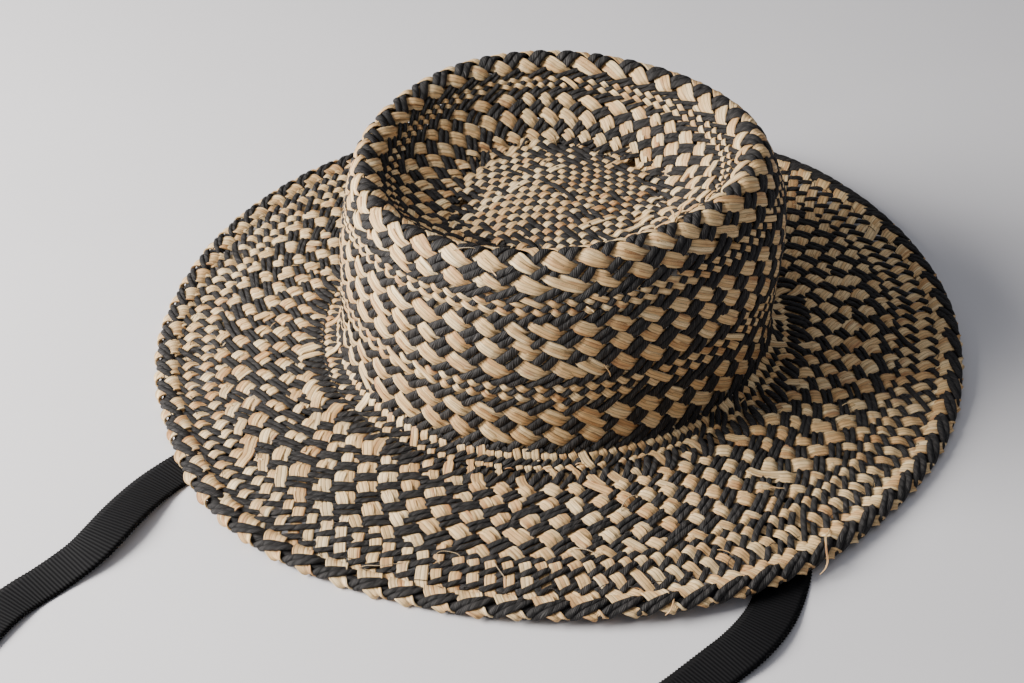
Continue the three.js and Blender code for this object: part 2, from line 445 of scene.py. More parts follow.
@dataclass(frozen=True)
class RibbonFinish:
    """Black ribbed ribbon.

    Args:
        name: the material's name.
        rib: distance from rib to rib.
        warp: distance from thread to thread across the ribs.
        thread_rate: how fast the threads change across and along.
        black: its own colour, left in the grooves between the ribs.
        painted_sheen: a painted sheen on the tops of the ribs.
        roughness: of its threads.
    """

    name: str = "black_ribbon"
    rib: float = 1.4 * MM
    warp: float = 0.45 * MM
    thread_rate: tuple[float, float] = (900.0, 1500.0)
    black: tuple[float, float, float] = linear(0.035, 0.035, 0.04)
    painted_sheen: tuple[float, float, float] = linear(0.075, 0.073, 0.083)
    roughness: float = 0.75

    def build(self) -> bpy.types.Material:
        """Makes the material.

        Returns:
            The material.
        """
        material, desk = new_material(self.name, self.black)
        along = desk.trait("along")
        across = desk.times(desk.trait("section_x"), desk.trait("half_width"))
        rib = desk.fused(desk.maths("SINE", desk.times(along, TURN / self.rib)), 0.5, 0.5)
        warp = desk.maths("SINE", desk.times(across, TURN / self.warp))
        thread = desk.grain([across, along], self.thread_rate, 2.0)
        # Painted sheen: the tops of the ribs are lighter, varied from thread to thread.
        tone = desk.times(rib, desk.fused(thread, 0.7, 0.4))
        colour = desk.ramp(tone, (0.1, 0.9), [self.black, self.painted_sheen])
        height = desk.fused(warp, 0.06, desk.fused(thread, 0.15, rib))
        desk.skin(colour, self.roughness, 0.15, desk.relief(height, 0.5, 0.3 * MM))
        return material


@dataclass(frozen=True)
class ThreadFinish:
    """Thin twisted thread.

    Args:
        name: the material's name.
        colour: the thread's colour.
        lay: length of one turn of the twist.
        roughness: of its fibres.
    """

    name: str
    colour: tuple[float, float, float]
    lay: float = 0.8 * MM
    roughness: float = 0.6

    def build(self) -> bpy.types.Material:
        """Makes the material.

        Returns:
            The material.
        """
        material, desk = new_material(self.name, self.colour)
        twist = desk.maths("SINE", desk.times(desk.trait("along"), TURN / self.lay))
        # Painted shade: the colour darkens in the twist's grooves, in step with its relief.
        colour = desk.shade(self.colour, desk.fused(twist, 0.25, 0.75))
        desk.skin(colour, self.roughness, 0.5, desk.relief(twist, 0.5, 0.1 * MM))
        return material


@dataclass(frozen=True)
class TableFinish:
    """Pale plain table top.

    Args:
        name: the material's name.
        colour: the table's colour.
        roughness: of its top.
    """

    name: str = "pale_table"
    colour: tuple[float, float, float] = linear(0.845, 0.84, 0.85)
    roughness: float = 0.6

    def build(self) -> bpy.types.Material:
        """Makes the material.

        Returns:
            The material.
        """
        material, desk = new_material(self.name, self.colour)
        place = desk.add("ShaderNodeTexCoord").outputs["Object"]
        cloud = desk.add("ShaderNodeTexNoise", {"Vector": place, "Scale": 9.0, "Detail": 4.0})
        tone = desk.fused(cloud.outputs["Fac"], 0.07, 0.95)
        desk.skin(desk.shade(self.colour, tone), self.roughness, 0.3)
        return material


# The hat's surface


def smooth_value(before: Any, start: Any, end: Any, after: Any, share: Any) -> Any:
    """Runs a smooth curve through four values.

    Args:
        before: the value before the stretch.
        start: the value at its start.
        end: the value at its end.
        after: the value after it.
        share: how far along the stretch, from 0 to 1.

    Returns:
        The value there.
    """
    leave = (end - before) / 2
    arrive = (after - start) / 2
    gain = end - start
    bend = 3 * gain - 2 * leave - arrive
    return start + share * (leave + share * (bend + share * (leave + arrive - 2 * gain)))


def round_table(column: np.ndarray, angle: Any) -> Any:
    """Reads a column whose rows stand evenly round the hat.

    Args:
        column: the values, the first at angle 0.
        angle: where to read, in radians.

    Returns:
        The smooth value there.
    """
    count = len(column)
    place = (angle / TURN % 1) * count
    row = np.floor(place).astype(int)
    near = [column[(row + k) % count] for k in (-1, 0, 1, 2)]
    return smooth_value(*near, place - row)


def open_table(column: np.ndarray, place: Any) -> Any:
    """Reads a column from its first row to its last.

    Args:
        column: the values.
        place: row number, with parts of a row.

    Returns:
        The smooth value there.
    """
    count = len(column)
    row = np.clip(np.floor(place).astype(int), 0, count - 2)
    near = [column[np.clip(row + k, 0, count - 1)] for k in (-1, 0, 1, 2)]
    return smooth_value(*near, place - row)


# Tables of the shape, as in the part's own source

# The dish: out, down and wave, from the middle to the crest
DISH_ROWS = (
    (0, 0.9, 0), (0.253, 0.952, 0.05), (0.455, 1, 0.2), (0.581, 0.944, 0.4), (0.682, 0.79, 0.6),
    (0.783, 0.565, 0.8), (0.859, 0.371, 0.9), (0.909, 0.226, 0.95), (0.947, 0.089, 1), (1, 0, 1),
)

# The wall: set in, up and belly, from the fold down
WALL_ROWS = (
    (0.71, 0.975, 0.2), (0.508, 0.925, 0.4), (0.274, 0.838, 0.75), (0.105, 0.746, 1),
    (0, 0.613, 0.85), (-0.016, 0.46, 0.6), (-0.016, 0.307, 0.3), (-0.02, 0.184, 0.1),
)

# The turn into the brim: out and up
TURN_ROWS = ((0.154, 0.423), (0.481, 0.106), (1, 0), (1.67, 0))

# The crown's girth and rise every 30 degrees
CROWN_ROWS = np.array(
    [
        (1.026, 0.027), (1.019, 0.005), (0.998, -0.001), (0.987, 0.012), (0.985, 0.013), (0.989, -0.014),
        (1.009, -0.042), (1.028, -0.04), (1.015, -0.019), (0.978, 0.003), (0.967, 0.023), (0.998, 0.035),
    ]
)

# The outer edge's reach and lift every 22.5 degrees
EDGE_ROWS = np.array(
    [
        (1.004, 0.707), (0.993, 1), (1.014, 0.829), (1.001, 0.341), (0.994, -0.049), (0.987, 0.22),
        (0.97, 0.463), (0.976, 0.366), (1.004, -0.037), (1.01, 0.171), (1.069, 0.195), (1, -0.037),
        (0.995, 0.293), (1.012, 0.366), (0.975, 0.037), (0.998, 0.037),
    ]
)


@dataclass(frozen=True)
class HatSurface:
    """The middle of the hat's wall, with the sizes and tables of the part's own source.

    A place counts the rows of the profile: 0 is the middle of the tip, 9 the crest of the fold,
    18.5 the seam at the crown's foot, 20 the end of the turn and 21 the outer edge.

    Args:
        head_radius: radius of the crown's inside.
        weave: thickness of the weave.
        crown_height: height of the fold over the table.
        crest_set_in: how far the fold's crest lies inside the wall.
        dish_depth: depth of the dish under the crest.
        brim_width: width of the brim with its plait.
        brim_lift: height of the turn's end.
        base_turn: radius of the turn into the brim.
        plait: thickness of the plait.
        edge_wave: height of the edge's waves.
        seam_gap: gap between the brim and the plait.
        crown_offset: how far the crown stands from the hat's middle.
        crown_belly: how far the wall swells to one side.
        crest_place: the crest's row.
        seam_place: the row of the seam at the crown's foot.
        turn_end: the row of the turn's end.
        brim_end: the row of the outer edge.
    """

    head_radius: float = 90.2 * MM
    weave: float = 2.8 * MM
    crown_height: float = 99.2 * MM
    crest_set_in: float = 12.4 * MM
    dish_depth: float = 24.8 * MM
    brim_width: float = 84.0 * MM
    brim_lift: float = 7.2 * MM
    base_turn: float = 10.4 * MM
    plait: float = 5.2 * MM
    edge_wave: float = 8.2 * MM
    seam_gap: float = 0.3 * MM
    crown_offset: tuple[float, float, float] = (-1.65 * MM, -2.4 * MM, 0.0)
    crown_belly: tuple[float, float, float] = (2.6 * MM, -0.3 * MM, 0.0)
    crest_place: float = 9.0
    seam_place: float = 18.5
    turn_end: float = 20.0
    brim_end: float = 21.0

    def profile(self) -> np.ndarray:
        """Works out the profile.

        Returns:
            Rows of radius, height, wave and belly, from the tip's middle to the turn's end.
        """
        wall_radius = self.head_radius + self.weave / 2
        crest_radius = wall_radius - self.crest_set_in
        height = self.crown_height - self.weave / 2
        dish = [
            (crest_radius * out, height - self.dish_depth * down, wave, 0)
            for out, down, wave in DISH_ROWS
        ]
        wall = [
            (wall_radius - self.crest_set_in * inset, height * up, up, belly)
            for inset, up, belly in WALL_ROWS
        ]
        turn = [
            (wall_radius + self.base_turn * out, self.brim_lift + self.base_turn * up, 0, 0)
            for out, up in TURN_ROWS
        ]
        return np.array(dish + wall + turn)

    def crown_points(self, place: np.ndarray, angle: np.ndarray) -> np.ndarray:
        """Gives points of the crown and the turn.

        Args:
            place: row number along the profile.
            angle: way round the hat, in radians.

        Returns:
            The points.
        """
        profile = self.profile()
        height = self.crown_height - self.weave / 2
        radius = open_table(profile[:, 0], place) * round_table(CROWN_ROWS[:, 0], angle)
        rise = round_table(CROWN_ROWS[:, 1], angle) * open_table(profile[:, 2], place) * height
        up = open_table(profile[:, 1], place) + rise
        belly = open_table(profile[:, 3], place)[..., None] * np.array(self.crown_belly)
        points = np.stack([radius * np.cos(angle), radius * np.sin(angle), up], -1)
        return points + np.array(self.crown_offset) + belly

    def edge_points(self, angle: np.ndarray, inset: float) -> np.ndarray:
        """Gives points of the brim's edge.

        Args:
            angle: way round the hat, in radians.
            inset: how far they are set in from the outer line.

        Returns:
            The points.
        """
        outer = self.head_radius + self.weave + self.brim_width * round_table(EDGE_ROWS[:, 0], angle)
        lift = self.plait / 2 + self.edge_wave * round_table(EDGE_ROWS[:, 1], angle)
        radius = outer - inset
        return np.stack([radius * np.cos(angle), radius * np.sin(angle), lift], -1)

    def points(self, place: Any, angle: Any) -> np.ndarray:
        """Gives points of the whole wall.

        Args:
            place: row number along the profile.
            angle: way round the hat, in radians.

        Returns:
            The points, one for each place and angle.
        """
        place, angle = np.broadcast_arrays(np.asarray(place, float), np.asarray(angle, float))
        crown = self.crown_points(np.clip(place, 0, self.turn_end), angle)
        edge = self.edge_points(angle, self.plait + self.seam_gap)
        share = np.clip(place - self.turn_end, 0, None)[..., None]
        return crown * (1 - share) + edge * share

    def slopes(self, place: np.ndarray, angle: np.ndarray) -> tuple[np.ndarray, np.ndarray, np.ndarray]:
        """Works out how the wall runs.

        Args:
            place: row number along the profile.
            angle: way round the hat, in radians.

        Returns:
            The change for each row, the change for each radian, and the outward normal.
        """
        step = 0.02
        turn = 0.004
        low = np.clip(place - step, step, None)
        high = np.clip(place + step, 3 * step, None)
        down = (self.points(high, angle) - self.points(low, angle)) / (high - low)[..., None]
        round_way = (self.points(place, angle + turn) - self.points(place, angle - turn)) / (2 * turn)
        normal = unit(np.cross(down, round_way))
        return down, round_way, normal

    def run_places(self) -> tuple[np.ndarray, np.ndarray]:
        """Measures the mean profile.

        Returns:
            Places, and the run of wall from the crest to each, negative inside the dish.
        """
        places = np.linspace(0, self.brim_end, 841)
        angles = np.linspace(0, TURN, 24, endpoint=False)
        steps = [np.linalg.norm(np.diff(self.points(places, a), axis=0), axis=1) for a in angles]
        run = np.concatenate([[0.0], np.cumsum(np.mean(steps, axis=0))])
        return places, run - np.interp(self.crest_place, places, run)

    def dish_place(self, spot: np.ndarray) -> tuple[np.ndarray, np.ndarray]:
        """Finds places of the dish under points seen from above.

        Args:
            spot: x and y of each point.

        Returns:
            The place and the angle of each.
        """
        flat = spot - np.array(self.crown_offset)[:2]
        angle = np.arctan2(flat[..., 1], flat[..., 0])
        radius = np.hypot(flat[..., 0], flat[..., 1]) / round_table(CROWN_ROWS[:, 0], angle)
        places = np.linspace(0, self.crest_place, 181)
        return np.interp(radius, open_table(self.profile()[:, 0], places), places), angle


def unit(vectors: np.ndarray) -> np.ndarray:
    """Scales vectors to length 1."""
    return vectors / np.maximum(np.linalg.norm(vectors, axis=-1, keepdims=True), 1e-12)


# Strands


@dataclass
class Bundle:
    """Paths that become closed strands.

    Args:
        name: the finished piece's name.
        corners: corners of a strand's section.
        material: what the strands are made of.
        flat: whether the section is a flat strip with crisp sides.
    """

    name: str
    corners: int
    material: bpy.types.Material
    flat: bool = False
    parts: list[dict[str, np.ndarray]] = field(default_factory=list)

    def lay(
        self, points: np.ndarray, up: np.ndarray, half_width: Any, half_height: Any, seed: float
    ) -> None:
        """Adds one strand.

        Args:
            points: its centre line.
            up: the way that its broad side faces, at each point.
            half_width: half its width, at each point or all along.
            half_height: half its thickness.
            seed: a number of its own, from 0 to 1.
        """
        count = len(points)
        along_way = unit(np.gradient(points, axis=0))
        across = unit(np.cross(up, along_way))
        steps = np.linalg.norm(np.diff(points, axis=0), axis=1)
        self.parts.append(
            {
                "points": points,
                "across_way": across,
                "up_way": unit(np.cross(along_way, across)),
                "half_width": np.broadcast_to(half_width, count),
                "half_height": np.broadcast_to(half_height, count),
                "along": np.concatenate([[0.0], np.cumsum(steps)]) + 0.05 * seed,
                "strand_seed": np.full(count, seed),
            }
        )

    def path_mesh(self) -> bpy.types.Mesh:
        """Joins the paths in one mesh of edges.

        Returns:
            The mesh, with what each point carries as attributes.
        """
        edges = []
        first = 0
        for part in self.parts:
            count = len(part["points"])
            line = np.arange(first, first + count)
            edges.append(np.stack([line[:-1], line[1:]], -1))
            first += count
        mesh = bpy.data.meshes.new(self.name + "_paths")
        joined = {key: np.concatenate([part[key] for part in self.parts]) for key in self.parts[0]}
        lines = np.concatenate(edges)
        mesh.vertices.add(first)
        mesh.vertices.foreach_set("co", joined.pop("points").ravel())
        mesh.edges.add(len(lines))
        mesh.edges.foreach_set("vertices", lines.ravel())
        for name, values in joined.items():
            kind = "FLOAT_VECTOR" if values.ndim == 2 else "FLOAT"
            trait = mesh.attributes.new(name, kind, "POINT")
            trait.data.foreach_set("vector" if values.ndim == 2 else "value", values.ravel())
        mesh.update()
        return mesh

    def build(self) -> bpy.types.Object:
        """Makes the strands with the strand tree.

        Returns:
            The finished piece.
        """
        piece = bpy.data.objects.new(self.name, self.path_mesh())
        bpy.context.scene.collection.objects.link(piece)
        grow_strands(piece, self.corners, self.flat, self.material)
        return piece


class StrandTree:
    """The node tree that turns paths into strands."""

    def __init__(self) -> None:
        """Builds the tree once, with its section's shape and its material as inputs."""
        self.tree = bpy.data.node_groups.new("strands_on_paths", "GeometryNodeTree")
        face = self.tree.interface
        face.new_socket("Geometry", in_out="INPUT", socket_type="NodeSocketGeometry")
        self.corners = face.new_socket("Section corners", in_out="INPUT", socket_type="NodeSocketInt")
        self.square = face.new_socket("Section power", in_out="INPUT", socket_type="NodeSocketFloat")
        self.soft = face.new_socket("Side softness", in_out="INPUT", socket_type="NodeSocketFloat")
        self.finish = face.new_socket("Strand material", in_out="INPUT", socket_type="NodeSocketMaterial")
        face.new_socket("Geometry", in_out="OUTPUT", socket_type="NodeSocketGeometry")
        desk = NodeDesk(self.tree)
        given = desk.add("NodeGroupInput")
        lines = desk.add("GeometryNodeMeshToCurve", {"Mesh": given.outputs[0]})
        centred = self.store(desk, lines.outputs[0], "centre", self.read_place(desk), "FLOAT_VECTOR")
        round_feeds = {"Resolution": given.outputs[1], "Radius": 1.0}
        ring = desk.add("GeometryNodeCurvePrimitiveCircle", round_feeds, mode="RADIUS")
        corner = desk.add("ShaderNodeSeparateXYZ", {0: self.read_place(desk)})
        wide_share = self.squared(desk, corner.outputs[0], given.outputs[2])
        tall_share = self.squared(desk, corner.outputs[1], given.outputs[2])
        section = self.store(desk, ring.outputs["Curve"], "section_x", wide_share, "FLOAT")
        section = self.store(desk, section, "section_y", tall_share, "FLOAT")
        tube = desk.add(
            "GeometryNodeCurveToMesh", {"Curve": centred, "Profile Curve": section, "Fill Caps": True}
        )
        wide = self.reach(desk, "across_way", "half_width", "section_x")
        tall = self.reach(desk, "up_way", "half_height", "section_y")
        centre = self.read(desk, "centre", "FLOAT_VECTOR")
        spot = desk.add("ShaderNodeVectorMath", {0: centre, 1: wide}, operation="ADD").outputs[0]
        spot = desk.add("ShaderNodeVectorMath", {0: spot, 1: tall}, operation="ADD").outputs[0]
        placed = desk.add("GeometryNodeSetPosition", {"Geometry": tube.outputs[0], "Position": spot})
        top = desk.maths("ABSOLUTE", self.read(desk, "section_y", "FLOAT"))
        broad = desk.maths("GREATER_THAN", desk.maths("ADD", top, given.outputs[3]), 0.7)
        smooth = desk.add(
            "GeometryNodeSetShadeSmooth", {"Geometry": placed.outputs[0], "Shade Smooth": broad}
        )
        dressed = desk.add(
            "GeometryNodeSetMaterial", {"Geometry": smooth.outputs[0], "Material": given.outputs[4]}
        )
        desk.add("NodeGroupOutput", {0: dressed.outputs[0]})

    def squared(self, desk: NodeDesk, value: Any, power: Any) -> bpy.types.NodeSocket:
        """Pushes a place on the section's circle towards a square's."""
        size = desk.maths("POWER", desk.maths("ABSOLUTE", value), power)
        return desk.times(desk.maths("SIGN", value), size)

    def read_place(self, desk: NodeDesk) -> bpy.types.NodeSocket:
        """Reads each point's own place."""
        return desk.add("GeometryNodeInputPosition").outputs[0]

    def read(self, desk: NodeDesk, name: str, kind: str) -> bpy.types.NodeSocket:
        """Reads what each point carries under a name."""
        return desk.add("GeometryNodeInputNamedAttribute", {"Name": name}, data_type=kind).outputs[0]

    def store(self, desk: NodeDesk, shape: Any, name: str, value: Any, kind: str) -> bpy.types.NodeSocket:
        """Keeps a value at each point.

        Args:
            desk: the tree's desk.
            shape: the geometry.
            name: the attribute's name.
            value: what is kept.
            kind: its data type.

        Returns:
            The geometry with the attribute.
        """
        feeds = {"Geometry": shape, "Name": name, "Value": value}
        node = desk.add("GeometryNodeStoreNamedAttribute", feeds, data_type=kind, domain="POINT")
        return node.outputs[0]

    def reach(self, desk: NodeDesk, way: str, half: str, corner: str) -> bpy.types.NodeSocket:
        """Works out how far a corner stands from the centre line, one way.

        Args:
            desk: the tree's desk.
            way: name of the direction.
            half: name of the strand's half size that way.
            corner: name of the corner's place in the section.

        Returns:
            The offset.
        """
        size = desk.times(self.read(desk, half, "FLOAT"), self.read(desk, corner, "FLOAT"))
        feeds = {0: self.read(desk, way, "FLOAT_VECTOR"), 3: size}
        return desk.add("ShaderNodeVectorMath", feeds, operation="SCALE").outputs[0]


def grow_strands(piece: bpy.types.Object, corners: int, flat: bool, material: bpy.types.Material) -> None:
    """Turns a piece's paths into closed strands and leaves a plain mesh.

    Args:
        piece: the object that holds the paths.
        corners: corners of a strand's section.
        flat: whether the section is a flat strip with crisp sides.
        material: what the strands are made of.
    """
    tree = StrandTree()
    growth = piece.modifiers.new("strands", "NODES")
    growth.node_group = tree.tree
    growth[tree.corners.identifier] = corners
    growth[tree.square.identifier] = 0.3 if flat else 1.0
    growth[tree.soft.identifier] = 0.0 if flat else 1.0
    growth[tree.finish.identifier] = material
    seen = piece.evaluated_get(bpy.context.evaluated_depsgraph_get())
    grown = bpy.data.meshes.new_from_object(seen)
    piece.modifiers.remove(growth)
    paths = piece.data
    piece.data = grown
    grown.name = piece.name
    bpy.data.meshes.remove(paths)
    bpy.data.node_groups.remove(tree.tree)
    for spent in ("centre", "across_way", "up_way", "half_height"):
        grown.attributes.remove(grown.attributes[spent])


# The weave


class Check(Enum):
    """The two sizes of check."""

    FINE = "one strand over one"
    COARSE_EVEN = "two over two, natural on even rows"
    COARSE_ODD = "two over two, natural on odd rows"


@dataclass(frozen=True)
class Ring:
    """A ring of one check.

    Args:
        until: the row where it ends.
        check: its check.
    """

    until: float
    check: Check


def natural_over(first: np.ndarray, second: np.ndarray, rings: list[Ring]) -> np.ndarray:
    """Tells where the straw lies over the cord.

    Args:
        first: numbers of the straw strips.
        second: numbers of the cords.
        rings: the rings of check, from the inside out.

    Returns:
        True where the straw is on top.
    """
    row = (second - first) / 2
    fine = (first + second) % 2 == 0
    blocks = np.floor_divide(first, 2) + np.floor_divide(second, 2)
    over = fine.copy()
    inside = -math.inf
    for ring in rings:
        here = (row >= inside) & (row < ring.until)
        if ring.check is Check.COARSE_EVEN:
            over = np.where(here, blocks % 2 == 0, over)
        elif ring.check is Check.COARSE_ODD:
            over = np.where(here, blocks % 2 == 1, over)
        inside = ring.until
    return over


@dataclass(frozen=True)
class StrandSize:
    """The size of one family of strands.

    Args:
        fill: share of the room between neighbours that a strand takes in the fine check.
        fill_coarse: its share in the coarse check.
        widest: the most that it may be wide in the fine check.
        widest_coarse: the most that it may be wide in the coarse check.
        touch: distance between the two strands of a coarse pair, in widths of one.
        step: how far the second of a pair lies below the first.
        roof: how far the two of a pair slope away from each other.
        leaf: how much narrower it is below than on top, as a share.
        half_height: half its thickness.
        over: height of its middle where it lies on top.
        under: height of its middle where it lies below.
        corners: corners of its section.
        flat: whether it is a flat strip.
    """

    fill: float
    fill_coarse: float
    widest: float
    widest_coarse: float
    touch: float
    step: float
    roof: float
    leaf: float
    half_height: float
    over: float
    under: float
    corners: int
    flat: bool


STRAW = StrandSize(
    fill=0.93,
    fill_coarse=1.02,
    widest=4.8 * MM,
    widest_coarse=4.3 * MM,
    touch=0.75,
    step=0.16 * MM,
    roof=0.17,
    leaf=0.36,
    half_height=0.32 * MM,
    over=0.95 * MM,
    under=-0.7 * MM,
    corners=6,
    flat=True,
)
CORD = StrandSize(
    fill=0.8,
    fill_coarse=0.86,
    widest=2.8 * MM,
    widest_coarse=3.6 * MM,
    touch=0.95,
    step=0.0,
    roof=0.0,
    leaf=0.0,
    half_height=0.92 * MM,
    over=0.55 * MM,
    under=-0.45 * MM,
    corners=7,
    flat=False,
)
SAMPLES = 3

# How uneven the strands are, as ranges of random shares
STRAY_SHARE = (0.4, 1.0)
SWAY_ROWS = (2.5, 6.0)
WIDTH_SHARE = (0.88, 1.12)
PULL_LIMITS = (0.03, 0.27)
DRIFT_ROWS = 0.16
SINK_ROWS = 1.5
EASING = np.array([1, 2, 3, 2, 1]) / 9


def scatter(first: np.ndarray, second: np.ndarray, seed: float = 0.0) -> np.ndarray:
    """Draws a number from 0 to 1 for each crossing, the same each time.

    Args:
        first: one number of each crossing.
        second: its other number.
        seed: makes another draw.

    Returns:
        The numbers.
    """
    mixed = np.sin(first * 12.9898 + second * 78.233 + seed) * 43758.5453
    return mixed - np.floor(mixed)


def shaped_wave(levels: np.ndarray, samples: int) -> np.ndarray:
    """Runs a strand smoothly from crossing to crossing.

    Args:
        levels: a value at each crossing.
        samples: points from one crossing to the next.

    Returns:
        The value at each point.
    """
    share = np.arange(samples) / samples
    eased = share * share * (3 - 2 * share)
    steps = levels[:-1, None] + (levels[1:] - levels[:-1])[:, None] * eased[None, :]
    return np.append(steps.ravel(), levels[-1])


@dataclass(frozen=True)
class Unevenness:
    """Slow wandering of a hand-made weave.

    Args:
        seed: makes it the same each time.
        turns: how many waves it has round the hat, at most.
        rows: how many rows a wave takes, at least.
    """

    seed: int
    turns: int = 9
    rows: float = 5.0

    def values(self, row: np.ndarray, angle: np.ndarray) -> np.ndarray:
        """Works out the wander.

        Args:
            row: row of check at each point.
            angle: way round the hat, in radians.

        Returns:
            A number from about -1 to 1 for each point.
        """
        random = np.random.default_rng(self.seed)
        total = np.zeros(np.broadcast(row, angle).shape)
        for _ in range(14):
            turns = random.integers(1, self.turns)
            pace = random.uniform(-1, 1) * TURN / self.rows
            total = total + 0.38 * np.sin(turns * angle + pace * row + random.uniform(0, TURN))
        return total


@dataclass(frozen=True)
class RingWeave:
    """A ring-shaped stretch of weave.

    Args:
        surface: the hat's surface.
        strands: how many strips, and how many cords, it has.
        rows: rows of check, each with its place on the profile.
        rings: its rings of check.
        lean_rows: rows, each with how far the weave has leant anticlockwise by it, in strands.
        wander: how far strands stray, in strands.
        slips: share of the crossings that go the wrong way.
        loose_until: row until which three times as many do.
        seed: makes the straying the same each time.
        change_rows: rows over which one check turns into the next.
        ease_rows: rows over which the table of places is smoothed.
    """

    surface: HatSurface
    strands: int
    rows: np.ndarray
    rings: list[Ring]
    lean_rows: np.ndarray
    wander: float
    slips: float
    loose_until: float
    seed: int
    change_rows: float = 0.6
    ease_rows: float = 1.2

    def coarse_share(self, row: np.ndarray) -> np.ndarray:
        """Works out how far rows are inside a coarse ring.

        Args:
            row: row of check at each point.

        Returns:
            A share from 0 to 1 for each point.
        """
        share = np.zeros(len(row))
        inside = -math.inf
        for ring in self.rings:
            if ring.check is not Check.FINE:
                depth = np.minimum(row - inside, ring.until - row)
                share = np.maximum(share, np.clip(depth / self.change_rows + 0.5, 0, 1))
            inside = ring.until
        return share

    def slipped(self, first: np.ndarray, second: np.ndarray) -> np.ndarray:
        """Picks the crossings that go the wrong way, the same for both families.

        Args:
            first: numbers of the straw strips.
            second: numbers of the cords.

        Returns:
            True where a crossing goes the wrong way.
        """
        share = np.where(second - first < 2 * self.loose_until, 3.0, 1.0) * self.slips
        return scatter(first % self.strands, second - first, self.seed) < share

    def leant(self, row: np.ndarray) -> np.ndarray:
        """Tells how far the weave has leant by each row, in strands."""
        return np.interp(row, self.lean_rows[:, 0], self.lean_rows[:, 1])

    def places(self, row: np.ndarray) -> np.ndarray:
        """Finds the place on the profile of rows, smoothed but for the first and the last.

        Args:
            row: row of check at each point.

        Returns:
            The place of each point.
        """
        rows, table = self.rows[:, 0], self.rows[:, 1]
        fine = np.linspace(rows[0] - 2, rows[-1] + 2, 1201)
        slope_in = (table[1] - table[0]) / (rows[1] - rows[0])
        slope_out = (table[-1] - table[-2]) / (rows[-1] - rows[-2])
        raw = np.interp(fine, rows, table)
        raw = np.where(fine < rows[0], table[0] + (fine - rows[0]) * slope_in, raw)
        raw = np.where(fine > rows[-1], table[-1] + (fine - rows[-1]) * slope_out, raw)
        width = int(self.ease_rows / (fine[1] - fine[0])) | 1
        padded = np.pad(raw, width // 2, mode="edge")
        eased = np.convolve(padded, np.ones(width) / width, mode="valid")
        keep = (fine < rows[0] + 0.4) | (fine > rows[-1] - 0.4)
        return np.interp(row, fine, np.where(keep, raw, eased))

    def lay_family(
        self,
        bundle: Bundle,
        size: StrandSize,
        hand: int,
        start: np.ndarray,
        end: np.ndarray,
        sink: float = 0.0,
    ) -> None:
        """Lays one family of strands.

        Args:
            bundle: where the strands go.
            size: their size.
            hand: 1 for straw, which runs anticlockwise, and -1 for cord.
            start: the crossing that each strand begins at, counted in half rows.
            end: the crossing that it ends at.
            sink: how far their first ends sink below the weave.
        """
        random = np.random.default_rng(self.seed + 50 + hand)
        loose = Unevenness(self.seed)
        drift = Unevenness(self.seed + 7, turns=5, rows=9.0)
        for number in range(self.strands):
            crossings = np.arange(start[number], end[number] + 1)
            over = self.levels(number, crossings, hand)
            heights = shaped_wave(np.where(over, size.over, size.under), SAMPLES)
            row = self.sampled_rows(crossings)
            stray = self.wander * random.uniform(*STRAY_SHARE)
            sway = stray * np.sin(TURN * (row / random.uniform(*SWAY_ROWS) + random.uniform()))
            coarse = self.coarse_share(row)
            slot = number + hand * row + self.leant(row) + sway
            slot = slot + 2.0 * self.wander * loose.values(row, slot / self.strands * TURN)
            place = self.places(row + DRIFT_ROWS * drift.values(row, slot / self.strands * TURN))
            room = self.room(row, place, slot, hand)
            widest = size.widest + (size.widest_coarse - size.widest) * coarse
            fill = size.fill + (size.fill_coarse - size.fill) * coarse
            width = np.minimum(room * fill, widest) * random.uniform(*WIDTH_SHARE)
            pull = np.clip((1 - size.touch * width / room) / 2, *PULL_LIMITS)
            second = number % 2 == 1
            angle = (slot + pull * coarse * (-1 if second else 1)) / self.strands * TURN
            _, round_way, normal = self.surface.slopes(place, angle)
            lift = (heights - size.under) / (size.over - size.under)
            eased = np.convolve(np.pad(lift, 2, mode="edge"), EASING, mode="valid")
            leaf = size.leaf * coarse
            half_width = width / 2 * (0.9 - 0.55 * leaf + (0.1 + leaf) * eased)
            heights = heights - size.step * coarse * second
            heights = heights - sink * np.clip(1 - (row - row[0]) / SINK_ROWS, 0, 1)
            points = self.surface.points(place, angle) + normal * heights[:, None]
            roof = (coarse * lift * size.roof * (1 if second else -1))[:, None]
            facing = unit(normal + unit(round_way) * roof)
            bundle.lay(points, facing, half_width, size.half_height, random.uniform())

    def room(self, row: np.ndarray, place: np.ndarray, slot: np.ndarray, hand: int) -> np.ndarray:
        """Measures the distance from a strand to its neighbour.

        Args:
            row: row of check at each point.
            place: the points' places on the profile.
            slot: how far round they are, in strands.
            hand: 1 for straw and -1 for cord.

        Returns:
            The distance at each point.
        """
        down, round_way, _ = self.surface.slopes(place, slot / self.strands * TURN)
        pace = (self.places(row + 0.05) - self.places(row - 0.05)) / 0.1
        lean = (self.leant(row + 0.05) - self.leant(row - 0.05)) / 0.1
        slot_way = round_way * (TURN / self.strands)
        run = down * pace[:, None] + slot_way * (hand + lean)[:, None]
        return np.linalg.norm(np.cross(slot_way, run), axis=1) / np.linalg.norm(run, axis=1)

    def sampled_rows(self, crossings: np.ndarray) -> np.ndarray:
        """Gives the row of each point of a strand."""
        count = (len(crossings) - 1) * SAMPLES
        return crossings[0] / 2 + np.arange(count + 1) / (2 * SAMPLES)

    def levels(self, number: int, crossings: np.ndarray, hand: int) -> np.ndarray:
        """Tells at which crossings a strand is on top.

        Args:
            number: the strand's number.
            crossings: its crossings, counted in half rows.
            hand: 1 for straw and -1 for cord.

        Returns:
            True where it is on top.
        """
        own = np.full(len(crossings), number)
        first = own if hand > 0 else number - crossings
        second = number + crossings if hand > 0 else own
        straw = natural_over(first, second, self.rings) ^ self.slipped(first, second)
        return straw if hand > 0 else ~straw

